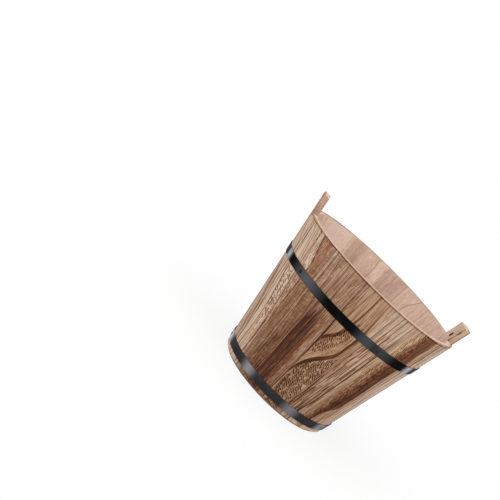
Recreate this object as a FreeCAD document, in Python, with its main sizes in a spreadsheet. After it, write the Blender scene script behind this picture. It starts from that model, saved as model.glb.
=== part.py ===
"""Wooden barrel planter: a tapered wall of coopered staves, two of them tall with a rope hole,
a boarded bottom set in a groove, and two riveted strap hoops nailed to the staves.

Millimetres. The origin is on the floor at the middle of the foot, +Z is up, and the two tall
staves stand on the X axis.
"""
import FreeCAD, Part
import Sketcher
import os

# Driving dimensions, in millimetres and degrees
SIZES = {
    # Wall: measured on its outside face, which is a cone
    "rim_radius": 125.0,
    "base_radius": 85.0,
    "rim_height": 205.0,
    "stave_thickness": 9.0,
    "stave_arris": 0.5,
    "foot_bevel": 2.5,
    # Staves in the front and in the back between the tall ones; those in the back share what is left
    "front_staves": 9,
    "front_stave_angle": 18.8,
    "back_staves": 9,
    # Tall staves: their share of the turn, how far they rise above the rim, and their rope hole
    "handle_stave_angle": 15.0,
    "handle_rise": 27.0,
    "rope_hole_diameter": 8.0,
    "rope_hole_rise": 5.0,
    # Bottom: its underside above the floor, the groove that holds it, and its boards
    "bottom_height": 12.0,
    "bottom_thickness": 9.0,
    "groove_depth": 3.0,
    "groove_play": 0.2,
    "drain_diameter": 12.0,
    "dowel_diameter": 6.0,
    "dowel_length": 30.0,
    "dowel_spread": 80.0,
    "dowel_play": 0.05,
    "dowel_end_gap": 0.5,
    # Hoops: heights are to the middle of the strap
    "upper_hoop_height": 150.5,
    "lower_hoop_height": 14.5,
    "hoop_width": 12.0,
    "hoop_gauge": 1.0,
    "hoop_play": 0.05,
    "lap_length": 26.0,
    "lap_turn": 90.0,
    # Rivets through the lapped ends
    "rivet_diameter": 3.0,
    "rivet_head_diameter": 5.5,
    "rivet_head_height": 1.2,
    "rivet_spacing": 13.0,
    # Nails: the angle of each hoop's first one, and the wood left between its point and the groove
    "nail_count": 5,
    "upper_nail_turn": -68.0,
    "lower_nail_turn": -104.0,
    "nail_cover": 1.4,
    "nail_diameter": 1.6,
    "nail_point": 1.5,
    "nail_head_diameter": 4.6,
    "nail_head_height": 0.9,
    # Gap round a nail or rivet shank, and past a nail's point
    "shank_play": 0.05,
}

doc = FreeCAD.newDocument("barrel_planter")
sheet = doc.addObject("Spreadsheet::Sheet", "Sizes")
for row, (alias, value) in enumerate(SIZES.items(), start=1):
    sheet.set(f"A{row}", str(value))
    sheet.setAlias(f"A{row}", alias)
doc.recompute()

front_staves = int(sheet.front_staves)
back_staves = int(sheet.back_staves)
nail_count = int(sheet.nail_count)

# Expressions that several pieces share
FLARE = "((Sizes.rim_radius - Sizes.base_radius) / Sizes.rim_height)"
LEAN = f"atan({FLARE})"
FULL_TURN = "360"
FRONT_ARC = "(Sizes.front_staves * Sizes.front_stave_angle)"
BACK_STAVE_ANGLE = f"((360 - 2 * Sizes.handle_stave_angle - {FRONT_ARC}) / Sizes.back_staves)"
RIM_TOP = "Sizes.rim_height"
HANDLE_TOP = "(Sizes.rim_height + Sizes.handle_rise)"
GROOVE_TOP = "(Sizes.bottom_height + Sizes.bottom_thickness + Sizes.groove_play)"
HOOP_FACE = "(Sizes.hoop_play + Sizes.hoop_gauge)"
LAP_FACE = "(Sizes.hoop_play + 2 * Sizes.hoop_gauge)"
SHANK_HOLE = "(Sizes.nail_diameter / 2 + Sizes.shank_play)"
NAIL_DEPTH = f"((Sizes.stave_thickness - Sizes.groove_depth) * cos({LEAN}) - Sizes.nail_cover)"

RIVETS_PER_LAP = 2
BOARD_COUNT = 3

sub_parts = []
cuts = []


def wall_radius(height):
    """Radius of the wall's outside face at a height, as an expression."""
    return f"(Sizes.base_radius + {FLARE} * ({height}))"


def inner_radius(height):
    """Radius of the wall's inside face at a height, as an expression."""
    return f"({wall_radius(height)} - Sizes.stave_thickness)"


GROOVE_RADIUS = f"({inner_radius('Sizes.bottom_height')} + Sizes.groove_depth)"
BOTTOM_RADIUS = f"({GROOVE_RADIUS} - Sizes.groove_play)"
BOARD_WIDTH = f"(2 * {BOTTOM_RADIUS} / {BOARD_COUNT})"


def measure(expression):
    """Value of an expression as a plain number."""
    return float(sheet.evalExpression(expression))


def keep(piece, label):
    """Label a finished piece and put it on the list of sub-parts."""
    piece.Label = label
    sub_parts.append(piece)
    return piece


def origin_feature(body, role):
    """The body's own origin plane or axis with that role."""
    return next(item for item in body.Origin.OriginFeatures if item.Role == role)


def radial_sketch(body, name):
    """Sketch on the body's upright XZ plane: x is the radius, y the height."""
    sketch = body.newObject("Sketcher::SketchObject", name)
    sketch.AttachmentSupport = [(origin_feature(body, "XZ_Plane"), "")]
    sketch.MapMode = "FlatFace"
    return sketch


def wall_sketch(body, name, turn, height):
    """Sketch across the wall: its origin lies on the outside face, x points out, y up the wall."""
    sketch = radial_sketch(body, name)
    swing = f"placement(vector(0; 0; 0); rotation(vector(0; 1; 0); {turn}))"
    seat = f"placement(vector({wall_radius(height)}; {height}; 0); rotation(vector(0; 0; 1); -{LEAN}))"
    sketch.setExpression("AttachmentOffset", f"{swing} * {seat}")
    return sketch


def outline(sketch, corners):
    """Close a polygon through the corners, each a pair of expressions that fixes its place."""
    places = [FreeCAD.Vector(measure(x), measure(y), 0) for x, y in corners]
    sides = [Part.LineSegment(start, end) for start, end in zip(places, places[1:] + places[:1])]
    sketch.addGeometry(sides, False)
    for side, (x, y) in enumerate(corners):
        following = (side + 1) % len(corners)
        sketch.addConstraint(Sketcher.Constraint("Coincident", side, 2, following, 1))
        for direction, distance in (("DistanceX", x), ("DistanceY", y)):
            bound = Sketcher.Constraint(direction, -1, 1, side, 1, measure(distance))
            number = sketch.addConstraint(bound)
            sketch.setExpression(f"Constraints[{number}]", distance)


def rectangle(sketch, left, right, low, high):
    """Close a rectangle between four expressions."""
    outline(sketch, [(left, low), (right, low), (right, high), (left, high)])


def revolve(body, kind, name, sketch, axis, angle):
    """Turn a sketch about an axis, half the angle to each side of its plane."""
    feature = body.newObject(kind, name)
    feature.Profile = sketch
    feature.ReferenceAxis = axis
    feature.Midplane = True
    feature.setExpression("Angle", angle)
    body.Tip = feature
    return feature


def upright_axis(body):
    """The axis of the whole planter."""
    return (origin_feature(body, "Z_Axis"), [""])


def spin_up(body, name, sketch, angle):
    """Solid turned about the planter's own axis."""
    return revolve(body, "PartDesign::Revolution", name, sketch, upright_axis(body), angle)


def spin_across(body, name, sketch):
    """Solid turned about the sketch's own x axis, which runs across the wall."""
    return revolve(body, "PartDesign::Revolution", name, sketch, (sketch, ["H_Axis"]), FULL_TURN)


def bore_wall(body, name, turn, height, radius, inner, outer):
    """Round hole square to the wall, from one distance off the outside face to another."""
    sketch = wall_sketch(body, f"{name}_outline", turn, height)
    rectangle(sketch, inner, outer, "0", radius)
    bore = revolve(body, "PartDesign::Groove", name, sketch, (sketch, ["H_Axis"]), FULL_TURN)
    cuts.append(bore)
    return bore


def repeat_round(body, name, feature, copies, extent):
    """Copy a feature round the planter's axis over an angle."""
    pattern = body.newObject("PartDesign::PolarPattern", name)
    pattern.Originals = [feature]
    pattern.Axis = upright_axis(body)
    pattern.Occurrences = copies
    pattern.setExpression("Angle", extent)
    body.Tip = pattern
    return pattern


def edge_names(shape, wanted):
    """Names of the shape's edges that pass a test."""
    return [f"Edge{number}" for number, edge in enumerate(shape.Edges, start=1) if wanted(edge)]


def is_arris(edge, top):
    """Whether an edge bounds the stave's end at the top, or is a long outside edge."""
    tolerance = 1e-4
    ends = [vertex.Point for vertex in edge.Vertexes]
    if all(abs(end.z - top) < tolerance for end in ends):
        return True
    rise = abs(ends[0].z - ends[1].z)
    outside = all(
        abs(end.x ** 2 + end.y ** 2 - measure(wall_radius(end.z)) ** 2) < tolerance for end in ends
    )
    return outside and rise > tolerance


HOOPS = {
    "upper_hoop": ("Sizes.upper_hoop_height", "Sizes.upper_nail_turn"),
    "lower_hoop": ("Sizes.lower_hoop_height", "Sizes.lower_nail_turn"),
}


def stave_layout():
    """Every stave as label, top, angle that it fills and angle of its middle, counted from the right
    tall stave round the back to the left one and on round the front."""
    right_edge = f"({FRONT_ARC} / 2 - 90)"
    left_edge = f"(270 - {FRONT_ARC} / 2)"
    handle = "Sizes.handle_stave_angle"
    back_start = f"({right_edge} + {handle})"
    staves = [("handle_stave_right", HANDLE_TOP, handle, f"({right_edge} + {handle} / 2)")]
    for place in range(1, back_staves + 1):
        middle = f"({back_start} + ({place} - 1 / 2) * {BACK_STAVE_ANGLE})"
        staves.append((f"stave_{place:02d}", RIM_TOP, BACK_STAVE_ANGLE, middle))
    staves.append(("handle_stave_left", HANDLE_TOP, handle, f"({left_edge} - {handle} / 2)"))
    for place in range(1, front_staves + 1):
        middle = f"({left_edge} + ({place} - 1 / 2) * Sizes.front_stave_angle)"
        staves.append((f"stave_{back_staves + place:02d}", RIM_TOP, "Sizes.front_stave_angle", middle))
    return staves


def nail_turns(hoop, angle, middle):
    """Turns from a stave's middle to the nails of a hoop that meet the stave, as expressions."""
    height, first_turn = HOOPS[hoop]
    reach = measure(f"{angle} / 2 + {SHANK_HOLE} / {wall_radius(height)} * 180 / pi")
    turns = [f"({first_turn} + {nail} * 360 / Sizes.nail_count - {middle})" for nail in range(nail_count)]
    return [turn for turn in turns if abs((measure(turn) + 180) % 360 - 180) < reach]


def make_stave(label, top, angle, middle):
    """One stave: a slice of the tapered wall with the groove for the bottom, its nail holes and,
    on a tall one, the rope hole."""
    body = doc.addObject("PartDesign::Body", label)
    profile = radial_sketch(body, f"{label}_profile")
    outline(profile, [
        (inner_radius("0"), "0"),
        ("Sizes.base_radius - Sizes.foot_bevel", "0"),
        (wall_radius("Sizes.foot_bevel"), "Sizes.foot_bevel"),
        (wall_radius(top), top),
        (inner_radius(top), top),
        (inner_radius(GROOVE_TOP), GROOVE_TOP),
        (GROOVE_RADIUS, GROOVE_TOP),
        (GROOVE_RADIUS, "Sizes.bottom_height"),
        (inner_radius("Sizes.bottom_height"), "Sizes.bottom_height"),
    ])
    slab = spin_up(body, f"{label}_slab", profile, angle)
    doc.recompute()
    eased = body.newObject("PartDesign::Chamfer", f"{label}_arris")
    eased.Base = (slab, edge_names(slab.Shape, lambda edge: is_arris(edge, measure(top))))
    eased.setExpression("Size", "Sizes.stave_arris")
    body.Tip = eased
    for hoop, (height, _) in HOOPS.items():
        for turn in nail_turns(hoop, angle, middle):
            bore_wall(body, f"{label}_{hoop}_nail_hole", turn, height, SHANK_HOLE,
                      f"-{NAIL_DEPTH} - Sizes.shank_play", "Sizes.hoop_gauge")
    if top == HANDLE_TOP:
        bore_wall(body, f"{label}_rope_hole", "0", "Sizes.rim_height + Sizes.rope_hole_rise",
                  "Sizes.rope_hole_diameter / 2", "-2 * Sizes.stave_thickness", "Sizes.stave_thickness")
    body.setExpression("Placement", f"placement(vector(0; 0; 0); rotation(vector(0; 0; 1); {middle}))")
    return keep(body, label)


def head_corners(face, diameter, height):
    """Corners of a low bevelled head that stands on a face, from its middle out and down."""
    return [
        (f"{face} + {height}", "0"),
        (f"{face} + {height}", f"{diameter} / 4"),
        (f"{face} + {height} / 2", f"{diameter} / 2"),
        (face, f"{diameter} / 2"),
    ]


def make_nails(hoop):
    """The nails of one hoop: each is driven through the strap into a stave."""
    height, first_turn = HOOPS[hoop]
    body = doc.addObject("PartDesign::Body", f"{hoop}_nails")
    sketch = wall_sketch(body, f"{hoop}_nail_profile", first_turn, height)
    shank = "Sizes.nail_diameter / 2"
    point = (f"-{NAIL_DEPTH}", "0")
    shoulder = (f"-{NAIL_DEPTH} + Sizes.nail_point", shank)
    head = head_corners(HOOP_FACE, "Sizes.nail_head_diameter", "Sizes.nail_head_height")
    outline(sketch, [point] + head + [(HOOP_FACE, shank), shoulder])
    nail = spin_across(body, f"{hoop}_nail", sketch)
    repeat_round(body, f"{hoop}_nail_ring", nail, nail_count, FULL_TURN)
    return keep(body, f"{hoop}_nails")


def rivet_angle(height):
    """Angle between the two rivets of a lap, as an expression in degrees."""
    return f"(Sizes.rivet_spacing / {wall_radius(height)} * 180 / pi)"


def first_rivet_turn(height):
    """Angle of a lap's first rivet, as an expression in degrees."""
    return f"(Sizes.lap_turn - {rivet_angle(height)} / 2)"


def make_hoop(hoop):
    """One strap hoop: a conical band with a lapped end, and holes for its rivets and nails."""
    height, first_turn = HOOPS[hoop]
    body = doc.addObject("PartDesign::Body", hoop)
    half_width = "Sizes.hoop_width / 2"
    band = wall_sketch(body, f"{hoop}_band_profile", "0", height)
    rectangle(band, "Sizes.hoop_play", HOOP_FACE, f"-{half_width}", half_width)
    spin_up(body, f"{hoop}_band", band, FULL_TURN)
    lap = wall_sketch(body, f"{hoop}_lap_profile", "Sizes.lap_turn", height)
    rectangle(lap, "Sizes.hoop_play + Sizes.hoop_gauge / 2", LAP_FACE, f"-{half_width}", half_width)
    spin_up(body, f"{hoop}_lap", lap, f"Sizes.lap_length / {wall_radius(height)} * 180 / pi")
    nail_hole = bore_wall(body, f"{hoop}_nail_hole", first_turn, height, SHANK_HOLE,
                          "-Sizes.hoop_gauge", LAP_FACE)
    repeat_round(body, f"{hoop}_nail_holes", nail_hole, nail_count, FULL_TURN)
    rivet_hole = bore_wall(body, f"{hoop}_rivet_hole", first_rivet_turn(height), height,
                           "Sizes.rivet_diameter / 2 + Sizes.shank_play", "-Sizes.hoop_gauge",
                           f"{LAP_FACE} + Sizes.hoop_gauge")
    repeat_round(body, f"{hoop}_rivet_holes", rivet_hole, RIVETS_PER_LAP, rivet_angle(height))
    return keep(body, hoop)


def make_rivets(hoop):
    """The rivets that close one hoop: flush inside, headed outside."""
    height = HOOPS[hoop][0]
    body = doc.addObject("PartDesign::Body", f"{hoop}_rivets")
    sketch = wall_sketch(body, f"{hoop}_rivet_profile", first_rivet_turn(height), height)
    shank = "Sizes.rivet_diameter / 2"
    head = head_corners(LAP_FACE, "Sizes.rivet_head_diameter", "Sizes.rivet_head_height")
    outline(sketch, [("Sizes.hoop_play", "0")] + head + [(LAP_FACE, shank), ("Sizes.hoop_play", shank)])
    rivet = spin_across(body, f"{hoop}_rivet", sketch)
    repeat_round(body, f"{hoop}_rivet_pair", rivet, RIVETS_PER_LAP, rivet_angle(height))
    return keep(body, f"{hoop}_rivets")


def primitive(kind, name, **expressions):
    """A simple solid whose sizes are bound to expressions."""
    solid = doc.addObject(kind, name)
    for size, expression in expressions.items():
        solid.setExpression(size, expression)
    return solid


def boolean(kind, name, base, tool):
    """Combine two solids."""
    result = doc.addObject(kind, name)
    result.Base = base
    result.Tool = tool
    return result


DOWEL_LEVEL = "(Sizes.bottom_height + Sizes.bottom_thickness / 2)"
JOINTS = {"front_joint": -1, "back_joint": 1}
BOARDS = {
    "bottom_board_front": (-1, ["front_joint"]),
    "bottom_board_middle": (0, ["front_joint", "back_joint"]),
    "bottom_board_back": (1, ["back_joint"]),
}


def dowel(name, joint, end, radius, length):
    """A pin across one joint of the bottom, at one end of its row."""
    place = (
        f"placement(vector({end} * Sizes.dowel_spread / 2;"
        f" {JOINTS[joint]} * {BOARD_WIDTH} / 2 - ({length}) / 2; {DOWEL_LEVEL});"
        " rotation(vector(1; 0; 0); -90))"
    )
    return primitive("Part::Cylinder", name, Radius=radius, Height=length, Placement=place)


def make_board(label):
    """One board of the bottom: a strip of the disc with its dowel holes, the middle one drained."""
    side, joints = BOARDS[label]
    level = "placement(vector({x}; {y}; Sizes.bottom_height); rotation(vector(0; 0; 1); 0))"
    disc = primitive("Part::Cylinder", f"{label}_disc", Radius=BOTTOM_RADIUS,
                     Height="Sizes.bottom_thickness", Placement=level.format(x="0", y="0"))
    strip = primitive("Part::Box", f"{label}_strip", Length=f"2 * {BOTTOM_RADIUS}", Width=BOARD_WIDTH,
                      Height="Sizes.bottom_thickness",
                      Placement=level.format(x=f"-{BOTTOM_RADIUS}", y=f"({side} - 1 / 2) * {BOARD_WIDTH}"))
    blank = boolean("Part::Common", f"{label}_blank", disc, strip)
    tools = [
        dowel(f"{label}_{joint}_hole", joint, end, "Sizes.dowel_diameter / 2 + Sizes.dowel_play",
              "Sizes.dowel_length + 2 * Sizes.dowel_end_gap")
        for joint in joints for end in (-1, 1)
    ]
    if side == 0:
        tools.append(primitive("Part::Cylinder", "drain_hole", Radius="Sizes.drain_diameter / 2",
                               Height="Sizes.bottom_thickness", Placement=level.format(x="0", y="0")))
    holes = doc.addObject("Part::Compound", f"{label}_holes")
    holes.Links = tools
    return keep(boolean("Part::Cut", label, blank, holes), label)


def make_dowels():
    """The pins that join the bottom boards edge to edge."""
    pins = doc.addObject("Part::Compound", "bottom_dowels")
    pins.Links = [
        dowel(f"{joint}_dowel", joint, end, "Sizes.dowel_diameter / 2", "Sizes.dowel_length")
        for joint in JOINTS for end in (-1, 1)
    ]
    return keep(pins, "bottom_dowels")


def check_and_write():
    """Refuse any failed object, idle cut or unsound solid, then write each sub-part to its file."""
    doc.recompute()
    for item in doc.Objects:
        if "Invalid" in item.State or "Error" in item.State:
            raise RuntimeError(f"{item.Label} failed: {item.State}")
    for cut in cuts:
        if cut.Shape.Volume >= cut.BaseFeature.Shape.Volume:
            raise RuntimeError(f"{cut.Label} cuts nothing")
    os.makedirs("parts", exist_ok=True)
    for piece in sub_parts:
        shape = piece.Shape
        if shape.isNull() or not shape.isValid() or not shape.Solids:
            raise RuntimeError(f"{piece.Label} is not a sound solid")
        shape.exportStep(f"parts/{piece.Label}.step")
        print(f"{piece.Label}: {len(shape.Solids)} solid(s), {shape.Volume:.1f} mm3")


for stave in stave_layout():
    make_stave(*stave)
for label in BOARDS:
    make_board(label)
make_dowels()
for hoop in HOOPS:
    make_hoop(hoop)
    make_nails(hoop)
    make_rivets(hoop)
check_and_write()
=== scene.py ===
"""Looks of a coopered planter bucket: burnt and brushed staves, a raw inside, two black strap hoops.

Metres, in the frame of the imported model: +Z is up, the origin is under the middle of the foot and
the two tall staves stand on the X axis. Grain patterns are set out on each stave in degrees from
its middle and in millimetres above the floor.
"""
import logging
import math
from collections.abc import Callable
from dataclasses import dataclass, field
from enum import Enum, IntEnum
from functools import cache

import bmesh
import bpy
from mathutils import Matrix, Vector


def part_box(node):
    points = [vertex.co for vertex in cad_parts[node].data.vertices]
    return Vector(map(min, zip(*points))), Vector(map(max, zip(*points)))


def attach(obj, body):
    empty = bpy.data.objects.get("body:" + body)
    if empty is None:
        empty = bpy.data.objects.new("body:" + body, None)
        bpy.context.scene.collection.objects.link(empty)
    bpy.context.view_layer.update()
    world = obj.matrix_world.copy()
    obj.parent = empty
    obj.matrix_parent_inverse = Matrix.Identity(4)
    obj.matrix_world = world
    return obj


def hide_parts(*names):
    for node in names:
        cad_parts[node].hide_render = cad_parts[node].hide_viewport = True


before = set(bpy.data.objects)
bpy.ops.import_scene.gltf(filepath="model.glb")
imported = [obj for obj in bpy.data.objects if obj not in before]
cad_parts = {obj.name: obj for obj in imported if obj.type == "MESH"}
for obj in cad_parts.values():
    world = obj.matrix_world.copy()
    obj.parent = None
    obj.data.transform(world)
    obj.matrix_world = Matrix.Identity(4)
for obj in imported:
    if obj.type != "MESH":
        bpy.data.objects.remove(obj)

LOG = logging.getLogger("planter")
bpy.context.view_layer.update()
BODY = "root"
MILLIMETRE = 0.001
WELD = 1e-6

Socket = bpy.types.NodeSocket
Outputs = bpy.types.bpy_prop_collection
Colour = tuple[float, float, float, float]
Points = tuple[tuple[float, float], ...]
Band = tuple[tuple[float, float, float], ...]

WHITE: Colour = (1.0, 1.0, 1.0, 1.0)


def screen_colour(red: int, green: int, blue: int) -> Colour:
    """Linear colour of a screen colour.

    Args:
        red, green, blue: parts of the screen colour, 0 to 255.

    Returns:
        The colour as Blender's sockets take it.
    """
    toe, toe_slope = 0.04045, 12.92
    offset, power = 0.055, 2.4
    parts = [part / 255 for part in (red, green, blue)]
    linear = [
        part / toe_slope if part <= toe else ((part + offset) / (1 + offset)) ** power for part in parts
    ]
    return (*linear, 1.0)


class Shade(Enum):
    """Stops of a wood's colour from its darkest line to its palest fibre, as screen colours."""

    BURNT = ((46, 24, 14), (90, 55, 35), (137, 100, 74), (178, 147, 122), (214, 190, 170))
    # RAW's palest stop is partly painted light, set pale enough to lift the shade inside the planter.
    RAW = ((120, 88, 72), (166, 134, 116), (196, 166, 147), (216, 188, 169), (236, 211, 193))
    END = ((112, 80, 62), (162, 126, 104), (195, 162, 141), (216, 186, 166), (234, 210, 194))
    PALE = ((150, 116, 84), (182, 148, 112), (204, 172, 134), (218, 190, 154), (230, 206, 174))


class Tint(Enum):
    """Hues that a patch of wood leans to, as factors on its colour."""

    PLAIN = (1.0, 1.0, 1.0, 1.0)
    RED = (1.10, 0.90, 0.84, 1.0)
    PLUM = (0.98, 0.92, 1.14, 1.0)
    GOLD = (1.06, 1.00, 0.88, 1.0)
    ROSE = (1.04, 0.97, 0.97, 1.0)
    GREY = (0.98, 1.05, 1.14, 1.0)
    MAUVE = (0.98, 0.98, 1.03, 1.0)
    SAND = (1.02, 0.99, 0.94, 1.0)


class Dash(Enum):
    """Rows of short marks in the grain: spacing, length of a mark and its gap, share left bare, evenness."""

    FLAME = (2.2, 6.0, 0.41, 0.25)
    DOT = (2.2, 3.4, 0.44, 0.1)
    BIRDS_EYE = (3.0, 5.0, 0.49, 0.0)
    FLECK = (2.2, 6.0, 0.46, 0.0)
    LONG_FLECK = (2.1, 20.0, 0.51, 0.0)
    RIPPLE = (2.0, 5.0, 0.46, 0.0)
    PORE = (1.1, 14.0, 0.51, 0.0)


class NodeSheet:
    """Adds and joins the nodes of one material or node group."""

    # Millimetres up and degrees across that a curve spans, then the sockets of a Mix node for colours.
    CURVE_HEIGHT = 240.0
    CURVE_REACH = 40.0
    MIX_INPUTS = (0, 6, 7)
    MIX_RESULT = 2

    def __init__(self, tree: bpy.types.NodeTree) -> None:
        """Work on a node tree."""
        self.tree = tree

    def add(self, kind: str, inputs: dict[str, object] | None = None, **options: object) -> bpy.types.Node:
        """Add one node.

        Args:
            kind: Blender's name of the node.
            inputs: values or sockets for its inputs, by name.
            options: settings of the node itself.

        Returns:
            The new node.
        """
        node = self.tree.nodes.new(kind)
        for option, value in options.items():
            setattr(node, option, value)
        for name, value in (inputs or {}).items():
            self.feed(node.inputs[name], value)
        return node

    def feed(self, socket: Socket, value: object) -> None:
        """Give an input its value.

        Args:
            socket: the input.
            value: a socket to join to it, or a plain value to set it to.
        """
        if isinstance(value, bpy.types.NodeSocket):
            self.tree.links.new(value, socket)
        else:
            socket.default_value = value

    def math(self, operation: str, *values: object, clamp: bool = False) -> Socket:
        """Add a Math node.

        Args:
            operation: Blender's name of the sum.
            values: one to three values or sockets.
            clamp: whether the result is kept from 0 to 1.

        Returns:
            The result.
        """
        node = self.add("ShaderNodeMath", operation=operation, use_clamp=clamp)
        for socket, value in zip(node.inputs, values):
            self.feed(socket, value)
        return node.outputs[0]

    def ease(self, value: object, low: object, high: object) -> Socket:
        """Rise smoothly from 0 to 1.

        Args:
            value: what rises.
            low, high: where the rise starts and where it ends.

        Returns:
            A share from 0 to 1.
        """
        node = self.add("ShaderNodeMapRange", interpolation_type="SMOOTHSTEP")
        for name, part in (("Value", value), ("From Min", low), ("From Max", high)):
            self.feed(node.inputs[name], part)
        return node.outputs["Result"]

    def spread(self, value: object, low: object, high: object) -> Socket:
        """Turn a share from 0 to 1 into a value from low to high."""
        inputs = {"Value": value, "To Min": low, "To Max": high}
        return self.add("ShaderNodeMapRange", inputs, clamp=False).outputs["Result"]

    def point(self, x: object, y: object, z: object = 0.0) -> Socket:
        """Join three values into a vector."""
        return self.add("ShaderNodeCombineXYZ", {"X": x, "Y": y, "Z": z}).outputs["Vector"]

    def here(self) -> Socket:
        """Place on the object, in metres."""
        return self.add("ShaderNodeTexCoord").outputs["Object"]

    def noise(
        self, place: Socket, detail: float = 2.0, roughness: float = 0.5, scale: float = 1.0
    ) -> Socket:
        """Noise at a place, with about as many waves per unit as the scale says."""
        inputs = {"Vector": place, "Scale": scale, "Detail": detail, "Roughness": roughness}
        return self.add("ShaderNodeTexNoise", inputs).outputs["Fac"]

    def sway(self, value: object, noise: Socket, amount: object) -> Socket:
        """Raise or lower a value by a noise that swings about its middle."""
        return self.math("MULTIPLY_ADD", self.math("SUBTRACT", noise, 0.5), amount, value)

    def mix(self, share: object, first: object, second: object, blend: str = "MIX") -> Socket:
        """Blend two colours.

        Args:
            share: how far the second colour counts, 0 to 1.
            first, second: the colours.
            blend: Blender's name of the way to blend.

        Returns:
            The blended colour.
        """
        node = self.add("ShaderNodeMix", data_type="RGBA", blend_type=blend)
        for number, value in zip(self.MIX_INPUTS, (share, first, second)):
            self.feed(node.inputs[number], value)
        return node.outputs[self.MIX_RESULT]

    def mix_shaders(self, share: Socket, first: Socket, second: Socket) -> Socket:
        """Blend two shaders.

        Args:
            share: how far the second shader counts, 0 to 1.
            first, second: the shaders.

        Returns:
            The blended shader.
        """
        node = self.add("ShaderNodeMixShader")
        for socket, value in zip(node.inputs, (share, first, second)):
            self.feed(socket, value)
        return node.outputs["Shader"]

    def ramp(self, value: Socket, shade: Shade) -> Socket:
        """Colour a tone.

        Args:
            value: the tone, 0 to 1.
            shade: the wood's colours.

        Returns:
            The colour of the tone on that shade.
        """
        node = self.add("ShaderNodeValToRGB", {"Fac": value})
        stops = node.color_ramp.elements
        last = len(shade.value) - 1
        while len(stops) <= last:
            stops.new(0.5)
        for number, colour in enumerate(shade.value):
            stops[number].position = number / last
            stops[number].color = screen_colour(*colour)
        return node.outputs["Color"]

    def curve(self, height: Socket, points: Points) -> Socket:
        """Follow a smooth line up a stave.

        Args:
            height: share of the curve's height, 0 to 1.
            points: heights in millimetres and places in degrees, lowest or highest first.

        Returns:
            The line's place at the height, as a share of the curve's reach.
        """
        node = self.add("ShaderNodeFloatCurve", {"Value": height})
        line = node.mapping.curves[0]
        node.mapping.extend = "HORIZONTAL"
        shares = sorted((up / self.CURVE_HEIGHT, place / self.CURVE_REACH + 0.5) for up, place in points)
        line.points[0].location = shares[0]
        line.points[1].location = shares[-1]
        for share in shares[1:-1]:
            line.points.new(*share)
        for point in line.points:
            point.handle_type = "AUTO_CLAMPED"
        node.mapping.update()
        return node.outputs["Value"]

    def degrees(self, share: Socket) -> Socket:
        """Turn a curve's share of its reach back into degrees."""
        return self.spread(share, -self.CURVE_REACH / 2, self.CURVE_REACH / 2)

    def group(self, tree: bpy.types.NodeTree, **inputs: object) -> Outputs:
        """Place a node group.

        Args:
            tree: the group's own tree.
            inputs: values or sockets for its inputs, with underscores for spaces.

        Returns:
            The group's outputs.
        """
        node = self.add("ShaderNodeGroup", node_tree=tree)
        for name, value in inputs.items():
            self.feed(node.inputs[name.replace("_", " ")], value)
        return node.outputs


def start_group(
    name: str, inputs: tuple[str, ...], outputs: tuple[str, ...]
) -> tuple[NodeSheet, Outputs, Outputs]:
    """Start a node group.

    Args:
        name: the group's name.
        inputs: names of its inputs; the one called Vector is a vector, the others are values.
        outputs: names of its values.

    Returns:
        A sheet for its nodes, the sockets that its inputs arrive on and those that its outputs leave by.
    """
    tree = bpy.data.node_groups.new(name, "ShaderNodeTree")
    for socket in inputs:
        kind = "NodeSocketVector" if socket == "Vector" else "NodeSocketFloat"
        tree.interface.new_socket(socket, in_out="INPUT", socket_type=kind)
    for socket in outputs:
        tree.interface.new_socket(socket, in_out="OUTPUT", socket_type="NodeSocketFloat")
    sheet = NodeSheet(tree)
    return sheet, sheet.add("NodeGroupInput").outputs, sheet.add("NodeGroupOutput").inputs


@cache
def place_group() -> bpy.types.NodeTree:
    """Group that turns a point into degrees across a stave, millimetres up and millimetres out.

    Returns:
        The group's tree.
    """
    sheet, given, made = start_group("stave_place", ("Vector",), ("Across", "Height", "Reach"))
    parts = sheet.add("ShaderNodeSeparateXYZ", {"Vector": given["Vector"]}).outputs
    angle = sheet.math("ARCTAN2", parts["Y"], parts["X"])
    sheet.feed(made["Across"], sheet.math("DEGREES", angle))
    sheet.feed(made["Height"], sheet.math("DIVIDE", parts["Z"], MILLIMETRE))
    level = sheet.point(parts["X"], parts["Y"])
    reach = sheet.add("ShaderNodeVectorMath", {"Vector": level}, operation="LENGTH").outputs["Value"]
    sheet.feed(made["Reach"], sheet.math("DIVIDE", reach, MILLIMETRE))
    return sheet.tree


@cache
def growth_group() -> bpy.types.NodeTree:
    """Group for growth lines: each darkens slowly to one side and stops sharply on the other.

    Returns:
        The group's tree.
    """
    swing_across, swing_up = 0.11, 0.009
    year_pace, year_shift = 0.55, 3.0
    line_start, line_end = 0.2, 0.95
    own_across, own_up = 3.7, 0.008
    faint, full = 0.36, 0.62
    names = ("Across", "Height", "Seed", "Pitch", "Wander")
    sheet, given, made = start_group("growth_lines", names, ("Lines",))
    slow = sheet.point(
        sheet.math("MULTIPLY", given["Across"], swing_across),
        sheet.math("MULTIPLY", given["Height"], swing_up),
        given["Seed"],
    )
    shifted = sheet.sway(given["Across"], sheet.noise(slow), given["Wander"])
    years = sheet.math("ADD", sheet.math("DIVIDE", shifted, given["Pitch"]), given["Seed"])
    uneven = sheet.noise(sheet.point(sheet.math("MULTIPLY", years, year_pace), given["Seed"]), 1.0)
    phase = sheet.math("MULTIPLY_ADD", uneven, year_shift, years)
    saw = sheet.math("FRACT", phase)
    body = sheet.math("POWER", sheet.ease(saw, line_start, line_end), 2.0)
    edge = sheet.math("SUBTRACT", 1.0, sheet.ease(saw, line_end, 1.0))
    own = sheet.point(
        sheet.math("MULTIPLY", sheet.math("FLOOR", phase), own_across),
        sheet.math("MULTIPLY", given["Height"], own_up),
        given["Seed"],
    )
    strength = sheet.ease(sheet.noise(own), faint, full)
    sheet.feed(made["Lines"], sheet.math("MULTIPLY", sheet.math("MULTIPLY", body, edge), strength))
    return sheet.tree


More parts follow.
